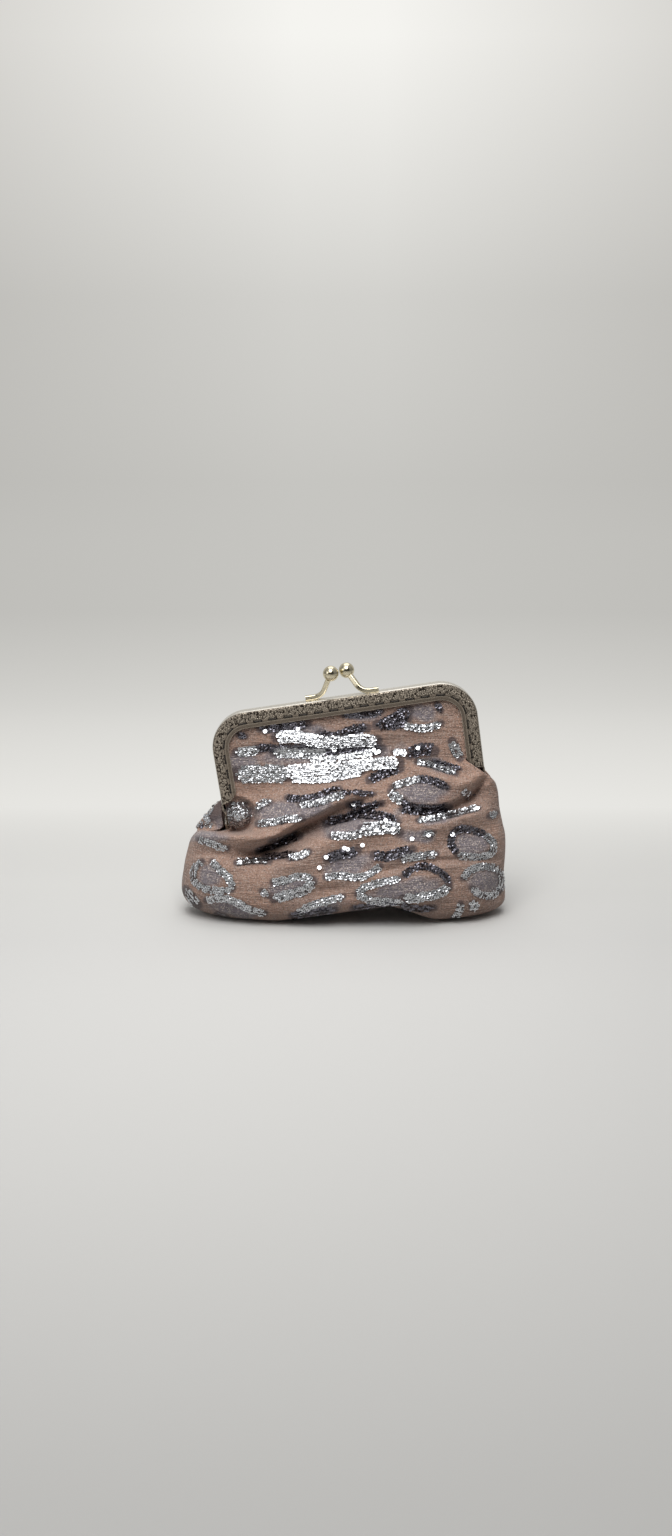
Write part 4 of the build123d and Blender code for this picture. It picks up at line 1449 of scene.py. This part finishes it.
@dataclass
class SequinPrint:
    """The rows of small cupped sequins that draw the rosettes on one half of the cloth."""

    cloth: PouchCloth
    rows: tuple[Row, ...]
    finishes: dict[Tone, bpy.types.Material]
    diameter: float = 1.5
    segments: int = 9
    hole: float = 0.38
    cup: float = 0.12
    pitch: float = 1.24
    lift: float = 0.3
    lean: float = 13.0
    lamp: tuple[float, float, float] = (-30.0, -250.0, 400.0)
    glints: tuple[tuple[float, float], ...] = ()
    seed: int = 11
    # rows apart in pitches, shorter outer rows, scatter in mm, and the share of sequins that are missing
    packing: float = 0.88
    end_rounding: float = 0.8
    scatter: float = 0.14
    missing: float = 0.02
    # no sequins on cloth seen more edge-on than this, nor above the arms' ends inside the frame's
    # channel, in mm
    grazing: float = -0.12
    arm_end: float = 13.5
    channel: float = 8.1
    # how near each ring of a sequin's points is to its rim, which sets the painted shade of its cup
    ring_shares: tuple[float, float, float] = (0.15, 0.8, 1.0)

    def template(self) -> bpy.types.Mesh:
        """One cupped sequin in the XY plane, open side up, in metres."""
        bm = bmesh.new()
        made = bmesh.ops.create_circle(bm, segments=self.segments, radius=self.hole / 2 * MM)
        rim = list({edge for vert in made["verts"] for edge in vert.link_edges})
        for radius, rise in ((self.diameter * 0.30, 0.0), (self.diameter / 2, self.cup)):
            grown = bmesh.ops.extrude_edge_only(bm, edges=rim)["geom"]
            verts = [g for g in grown if isinstance(g, bmesh.types.BMVert)]
            rim = [g for g in grown if isinstance(g, bmesh.types.BMEdge)]
            size = radius * MM / verts[0].co.to_2d().length
            bmesh.ops.scale(bm, vec=(size, size, 1), verts=verts)
            bmesh.ops.translate(bm, vec=(0, 0, rise * MM), verts=verts)
        bmesh.ops.recalc_face_normals(bm, faces=bm.faces)
        if sum(face.normal.z for face in bm.faces) < 0:
            bmesh.ops.reverse_faces(bm, faces=bm.faces)
        for face in bm.faces:
            face.smooth = True
        mesh = bpy.data.meshes.new("sequin")
        bm.to_mesh(mesh)
        bm.free()
        return mesh

    def spots(self, row: Row) -> list[tuple[float, float]]:
        """Lays a band's sequins out in rows side by side.

        Args:
            row: the band.

        Returns:
            How far across and how far up the elevation each sequin goes, in mm.
        """
        path = smooth_line(np.array(row.line), 12)
        step = np.hypot(*np.diff(path, axis=0).T)
        gone = np.concatenate([[0], np.cumsum(step)])
        found = []
        pitch = self.pitch * row.scale
        count = max(1, round(row.width / (pitch * self.packing)))
        for k in range(count):
            offset = (k - (count - 1) / 2) * pitch * self.packing
            # outer rows stop a little short, so that a motif has rounded ends
            trim = abs(offset) * self.end_rounding
            start = trim + (pitch / 2 if k % 2 else 0)
            for d in np.arange(start, gone[-1] - trim + 0.01, pitch):
                x, z = np.interp(d, gone, path[:, 0]), np.interp(d, gone, path[:, 1])
                a = min(max(np.searchsorted(gone, d) - 1, 0), len(step) - 1)
                turn = math.atan2(*(path[a + 1] - path[a])[::-1])
                found.append((x - math.sin(turn) * offset, z + math.cos(turn) * offset))
        return found

    def drop(self, across: float, up: float, from_front: bool = False) -> tuple[Vector, Vector] | None:
        """Finds the cloth under a spot of the elevation.

        Args:
            across: how far across the spot is, in mm.
            up: how far up it is, in mm.
            from_front: whether the spot is seen from the front, whichever half it is on.

        Returns:
            The cloth's place in metres and its normal, or nothing where the frame or a steep fold is.
        """
        half = self.cloth.half
        if half.side is Side.FRONT or from_front:
            start, ray = Vector(half.eye.place()) * MM, half.eye.ray(across, up)
        else:
            start, ray = Vector((across, 200.0, up)) * MM, Vector((0, -1, 0))
        place, normal, _, _ = self.cloth.surface.ray_cast(start, ray)
        if place is None or normal.dot(ray) > self.grazing:
            return None
        inset = half.plan.inset(np.array([place]) / MM)[0]
        above = half.plan.measure(np.array([place]) / MM)[1][0]
        if above > self.arm_end and inset < self.channel:
            return None
        return place, normal

    def tip(self, place: Vector, normal: Vector, glow: float) -> Vector:
        """Tips a sequin from the cloth towards where it flashes the lamp to the eye.

        Args:
            place: where it is, in metres.
            normal: the cloth's normal there.
            glow: how far it tips, from 0 to 1.

        Returns:
            The way the sequin faces.
        """
        to_eye = (Vector(self.cloth.half.eye.place()) * MM - place).normalized()
        to_lamp = (Vector(self.lamp) * MM - place).normalized()
        return normal.lerp((to_eye + to_lamp).normalized(), glow).normalized()

    def build(self) -> list[bpy.types.Object]:
        """Sews the sequins on, one piece for each plating."""
        chance = random.Random(self.seed)
        template = self.template()
        meshes = {tone: bmesh.new() for tone in Tone}
        counts = dict.fromkeys(Tone, 0)
        flashes = [Row(((x, z), (x + 0.4, z)), 1.0, Tone.SILVER, 1.0) for x, z in self.glints]
        for row in (*self.rows, *flashes):
            large = row in flashes
            for across, up in self.spots(row)[: 1 if large else None]:
                across += chance.gauss(0, self.scatter)
                up += chance.gauss(0, self.scatter)
                found = self.drop(across, up, row.from_front)
                if found is None or chance.random() < self.missing:
                    continue
                place, normal = found
                loose = 1.5 if row.tone is Tone.GUNMETAL else 1 - 0.5 * row.glow
                sway = math.radians(2 if large else self.lean * loose)
                lean = Matrix.Rotation(chance.gauss(0, sway), 4, "X")
                lean = lean @ Matrix.Rotation(chance.gauss(0, sway), 4, "Y")
                tipped = self.tip(place, normal, row.glow).to_track_quat("Z", "Y").to_matrix().to_4x4()
                lift = self.lift + (0.4 if large else 0.35 * row.glow)
                matrix = Matrix.Translation(place + normal * lift * MM) @ tipped @ lean
                flat = row.scale * (1 - 0.7 * row.glow)
                size = (1.3, 1.3, 0.3, 1.0) if large else (row.scale, row.scale, flat, 1.0)
                matrix = matrix @ Matrix.Diagonal(size)
                template.transform(matrix)
                meshes[row.tone].from_mesh(template)
                template.transform(matrix.inverted())
                counts[row.tone] += 1
        word = self.cloth.half.side.word
        pieces = []
        for tone, bm in meshes.items():
            piece = new_piece(f"{word}_{tone.value}_sequins", bm, [self.finishes[tone]])
            # how near each ring of a sequin's points is to its rim, from the hole outwards, which sets the
            # painted shade of its cup
            rim = piece.data.attributes.new("rim", "FLOAT", "POINT")
            rim.data.foreach_set("value", np.tile(np.repeat(self.ring_shares, self.segments), counts[tone]))
            self.cloth.half.plan.blend_ends()
            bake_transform(piece)
            pieces.append(piece)
            LOG.info("%s: %d sequins", piece.name, counts[tone])
        bpy.data.meshes.remove(template)
        return pieces


# ---------------------------------------------------------------- the metal


@dataclass
class MetalFrame:
    """The two arches, their stitching and their hinge rivets, which keep their CAD shapes."""

    metal: bpy.types.Material
    thread: bpy.types.Material
    rivet: bpy.types.Material

    def build(self) -> list[bpy.types.Object]:
        """Dresses the frame's nodes."""
        finishes = {f"{side.word}_frame": self.metal for side in Side}
        finishes |= {f"{side.word}_stitching": self.thread for side in Side}
        finishes |= {f"{hand}_hinge_rivet": self.rivet for hand in ("left", "right")}
        return dress(finishes)


@dataclass
class KissLock:
    """The clasp: two stems and two balls, which keep their CAD shapes."""

    metal: bpy.types.Material

    def build(self) -> list[bpy.types.Object]:
        """Dresses the clasp's nodes."""
        return dress({f"{side.word}_clasp_{part}": self.metal for side in Side for part in ("stem", "ball")})


def dress(finishes: dict[str, bpy.types.Material]) -> list[bpy.types.Object]:
    """Puts finishes on CAD nodes.

    Args:
        finishes: a material for each node's name.

    Returns:
        The dressed nodes.
    """
    for name, material in finishes.items():
        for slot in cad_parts[name].material_slots:
            slot.material = material
    return [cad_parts[name] for name in finishes]


# ---------------------------------------------------------------- the studio


@dataclass
class Studio:
    """A white light tent: a sweep of pale card, three soft lamps, and a darker opening in front."""

    # the card's colour by how far along the sweep it is, in m, over the floor, round the bend and up the
    # wall: painted light and shade, darker towards the front and on the lower wall, bright behind the purse
    # and brightest at the top
    shades: tuple[tuple[float, str], ...] = (
        (-0.33, "#bcbbb8"),
        (-0.25, "#c5c4c1"),
        (-0.18, "#cdccc9"),
        (-0.1, "#d7d6d3"),
        (-0.04, "#dddcd9"),
        (0.04, "#ebeae6"),
        (0.22, "#e9e8e4"),
        (0.55, "#dbdad6"),
        (0.85, "#c5c4c0"),
        (1.1, "#c6c5c1"),
        (1.33, "#d2d1cd"),
        (1.6, "#f5f4f0"),
    )
    side_shade: str = "#dad9d8"
    bounce: float = 0.27
    lit_to: float = 0.03
    seen_from: float = 0.2
    half_width: float = 1.6
    front: float = -1.0
    bend_start: float = 0.55
    bend: float = 0.35
    top: float = 1.8
    # in m: the ends of the shades, where painted shade darkens the card aside and high up, and where it is
    # plain again
    reach: tuple[float, float] = (-0.4, 1.6)
    aside_fade: tuple[float, float] = (0.05, 0.45)
    high_fade: tuple[float, float] = (1.0, 1.6)
    front_plain: tuple[float, float] = (-0.36, -0.6)
    aside_plain: tuple[float, float] = (0.3, 0.55)

    def build(self) -> list[bpy.types.Object]:
        """Builds the sweep, the lamps and the world."""
        sweep = self.make_sweep()
        self.make_lamps()
        self.make_world()
        return [sweep]

    def make_sweep(self) -> bpy.types.Object:
        """A floor that bends up into a back wall."""
        bm = bmesh.new()
        ends = [bm.verts.new((x, self.front, 0)) for x in (-self.half_width, self.half_width)]
        edges = [bm.edges.new(ends)]
        grown = bmesh.ops.extrude_edge_only(bm, edges=edges)["geom"]
        verts = [g for g in grown if isinstance(g, bmesh.types.BMVert)]
        edges = [g for g in grown if isinstance(g, bmesh.types.BMEdge)]
        bmesh.ops.translate(bm, vec=(0, self.bend_start - self.front, 0), verts=verts)
        spun = bmesh.ops.spin(
            bm,
            geom=verts + edges,
            cent=(0, self.bend_start, self.bend),
            axis=(1, 0, 0),
            angle=math.pi / 2,
            steps=24,
            use_merge=False,
        )["geom_last"]
        edges = [g for g in spun if isinstance(g, bmesh.types.BMEdge)]
        grown = bmesh.ops.extrude_edge_only(bm, edges=edges)["geom"]
        verts = [g for g in grown if isinstance(g, bmesh.types.BMVert)]
        bmesh.ops.translate(bm, vec=(0, 0, self.top - self.bend), verts=verts)
        bmesh.ops.recalc_face_normals(bm, faces=bm.faces)
        return new_piece("sweep", bm, [self.make_card()])

    def make_card(self) -> bpy.types.Material:
        """Matt white card, lit near the purse so that it keeps the shadow.

        Further back the eye and the metal see it glow with its plain shades: painted light and shade, darker
        aside and high up. The little light it throws back keeps the purse's underside dark.

        Returns:
            The card's material.
        """
        start, end = self.reach
        material, tree, out = new_material("matt_card")
        place = add_node(tree, "ShaderNodeTexCoord").outputs["Object"]
        parts = add_node(tree, "ShaderNodeSeparateXYZ", {0: place})
        along = calculate(tree, "ADD", parts.outputs[1], parts.outputs[2])
        share = spread(tree, along, self.reach)
        shade = ramp(
            tree,
            share,
            [((far - start) / (end - start), linear(code)) for far, code in self.shades],
        )
        aside = calculate(tree, "ABSOLUTE", parts.outputs[0])
        edge = spread(tree, aside, self.aside_fade)
        high = spread(tree, along, self.high_fade, (0.25, 1.0))
        edge = calculate(tree, "MULTIPLY", edge, high)
        # painted shade: the card darkens towards the sides, most of all high up
        fade = blend_colours(
            tree,
            edge,
            shade,
            linear(self.side_shade),
            blend_type="MULTIPLY",
        )
        path = add_node(tree, "ShaderNodeLightPath").outputs
        sees = calculate(tree, "MAXIMUM", path["Is Camera Ray"], path["Is Glossy Ray"])
        sees = calculate(tree, "MAXIMUM", sees, path["Is Transmission Ray"])
        tint = blend_colours(tree, sees, (*(self.bounce,) * 3, 1.0), shade)
        shader = add_node(tree, "ShaderNodeBsdfPrincipled", {"Base Color": tint})
        shader.inputs["Roughness"].default_value = 0.8
        # the glow is painted light: the card shines its shades to the eye and the metal, though it is no
        # lamp
        glow = add_node(tree, "ShaderNodeEmission", {"Color": fade})
        far = spread(tree, along, (self.lit_to, self.seen_from))
        near = spread(tree, along, self.front_plain)
        wide = spread(tree, aside, self.aside_plain)
        plain = calculate(tree, "MAXIMUM", far, near)
        plain = calculate(tree, "MAXIMUM", plain, wide)
        part = calculate(tree, "MULTIPLY", sees, plain)
        mixed = add_node(tree, "ShaderNodeMixShader", {0: part, 1: shader.outputs[0], 2: glow.outputs[0]})
        tree.links.new(mixed.outputs[0], out.inputs[0])
        return material

    def make_lamps(self) -> None:
        """A key lamp above the front, a weak one from the front left and a broad one high up behind."""
        for name, place, size, watts in (
            ("key_lamp", (-0.03, -0.25, 0.4), 0.26, 1.25),
            ("left_lamp", (-0.34, -0.26, 0.24), 0.2, 0.2),
            ("top_lamp", (0.0, 0.25, 0.9), 0.7, 2.2),
        ):
            data = bpy.data.lights.new(name, "AREA")
            data.size = size
            data.energy = watts
            lamp = bpy.data.objects.new(name, data)
            lamp.location = place
            lamp.rotation_euler = (Vector(place) - Vector((0, 0, 0.05))).to_track_quat("Z", "Y").to_euler()
            bpy.context.scene.collection.objects.link(lamp)

    def make_world(self) -> None:
        """Soft white, brightest overhead, darker low down and towards the opening in front."""
        world = bpy.data.worlds.new("tent")
        bpy.context.scene.world = world
        world.use_nodes = True
        tree = world.node_tree
        tree.nodes.clear()
        way = add_node(tree, "ShaderNodeTexCoord").outputs["Generated"]
        opening = add_node(
            tree,
            "ShaderNodeVectorMath",
            {0: way, 1: Vector((0.0, -0.98, 0.2)).normalized()},
            operation="DOT_PRODUCT",
        )
        dim = ramp(
            tree,
            opening.outputs["Value"],
            [(0.55, (1.0, 1.0, 1.0, 1)), (0.82, (0.12, 0.12, 0.12, 1))],
        )
        up = add_node(tree, "ShaderNodeSeparateXYZ", {0: way})
        rising = ramp(
            tree,
            up.outputs[2],
            [(0.0, (0.22, 0.22, 0.22, 1)), (0.35, (0.32, 0.32, 0.32, 1)), (0.9, (0.45, 0.45, 0.455, 1))],
        )
        light = blend_colours(tree, 1.0, rising, dim, blend_type="MULTIPLY")
        background = add_node(tree, "ShaderNodeBackground", {"Color": light})
        plain = add_node(tree, "ShaderNodeBackground", {"Color": linear("#e4e4e2")})
        path = add_node(tree, "ShaderNodeLightPath")
        mixed = add_node(
            tree,
            "ShaderNodeMixShader",
            {0: path.outputs["Is Camera Ray"], 1: background.outputs[0], 2: plain.outputs[0]},
        )
        out = add_node(tree, "ShaderNodeOutputWorld")
        tree.links.new(mixed.outputs[0], out.inputs[0])


# ---------------------------------------------------------------- the purse


def main() -> None:
    """Builds the studio and the purse."""
    logging.basicConfig(level=logging.INFO, format="%(name)s: %(message)s")
    bpy.context.scene.view_settings.view_transform = "Standard"
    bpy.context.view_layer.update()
    eye, plan = Eye(), ArchPlan()
    eye.make_camera()
    Studio().build()
    cloth_finish = SequinMesh().make()
    lining_finish = SatinLining().make()
    # each plating: its colour, the painted shade in its cup, and its roughness
    plating = {
        Tone.SILVER: PlatedSequin("silver_sequin_film", "#e9ebee", "#58565a", 0.3).make(),
        Tone.GUNMETAL: PlatedSequin("gunmetal_sequin_film", "#85838c", "#2a282e", 0.22).make(),
    }
    front = ClothHalf(Side.FRONT, eye, plan, FRONT_COURSES, FRONT_FOLDS)
    back = ClothHalf(Side.BACK, eye, plan, BACK_COURSES, BACK_FOLDS, seed=9)
    made = []
    for half, patches, rows in ((front, FRONT_PATCHES, FRONT_ROWS), (back, BACK_PATCHES, BACK_ROWS)):
        cloth = PouchCloth(half, patches, tuple(row for row in rows if not row.from_front), cloth_finish)
        made.append(cloth.build())
        made.append(Lining(half, lining_finish).build())
        glints = FRONT_GLINTS if half.side is Side.FRONT else ()
        made += SequinPrint(cloth, rows, plating, glints=glints, seed=11 + half.seed).build()
    made += MetalFrame(
        PebbledAntiqueNickel(plan).make(),
        WaxedThread().make(),
        PolishedPaleBrass("rivet_nickel", "#b9b2a6", 0.25).make(),
    ).build()
    made += KissLock(PolishedPaleBrass().make()).build()
    for piece in made:
        LOG.info("%s: %d faces", piece.name, len(piece.data.polygons))


if __name__ == "__main__":
    main()
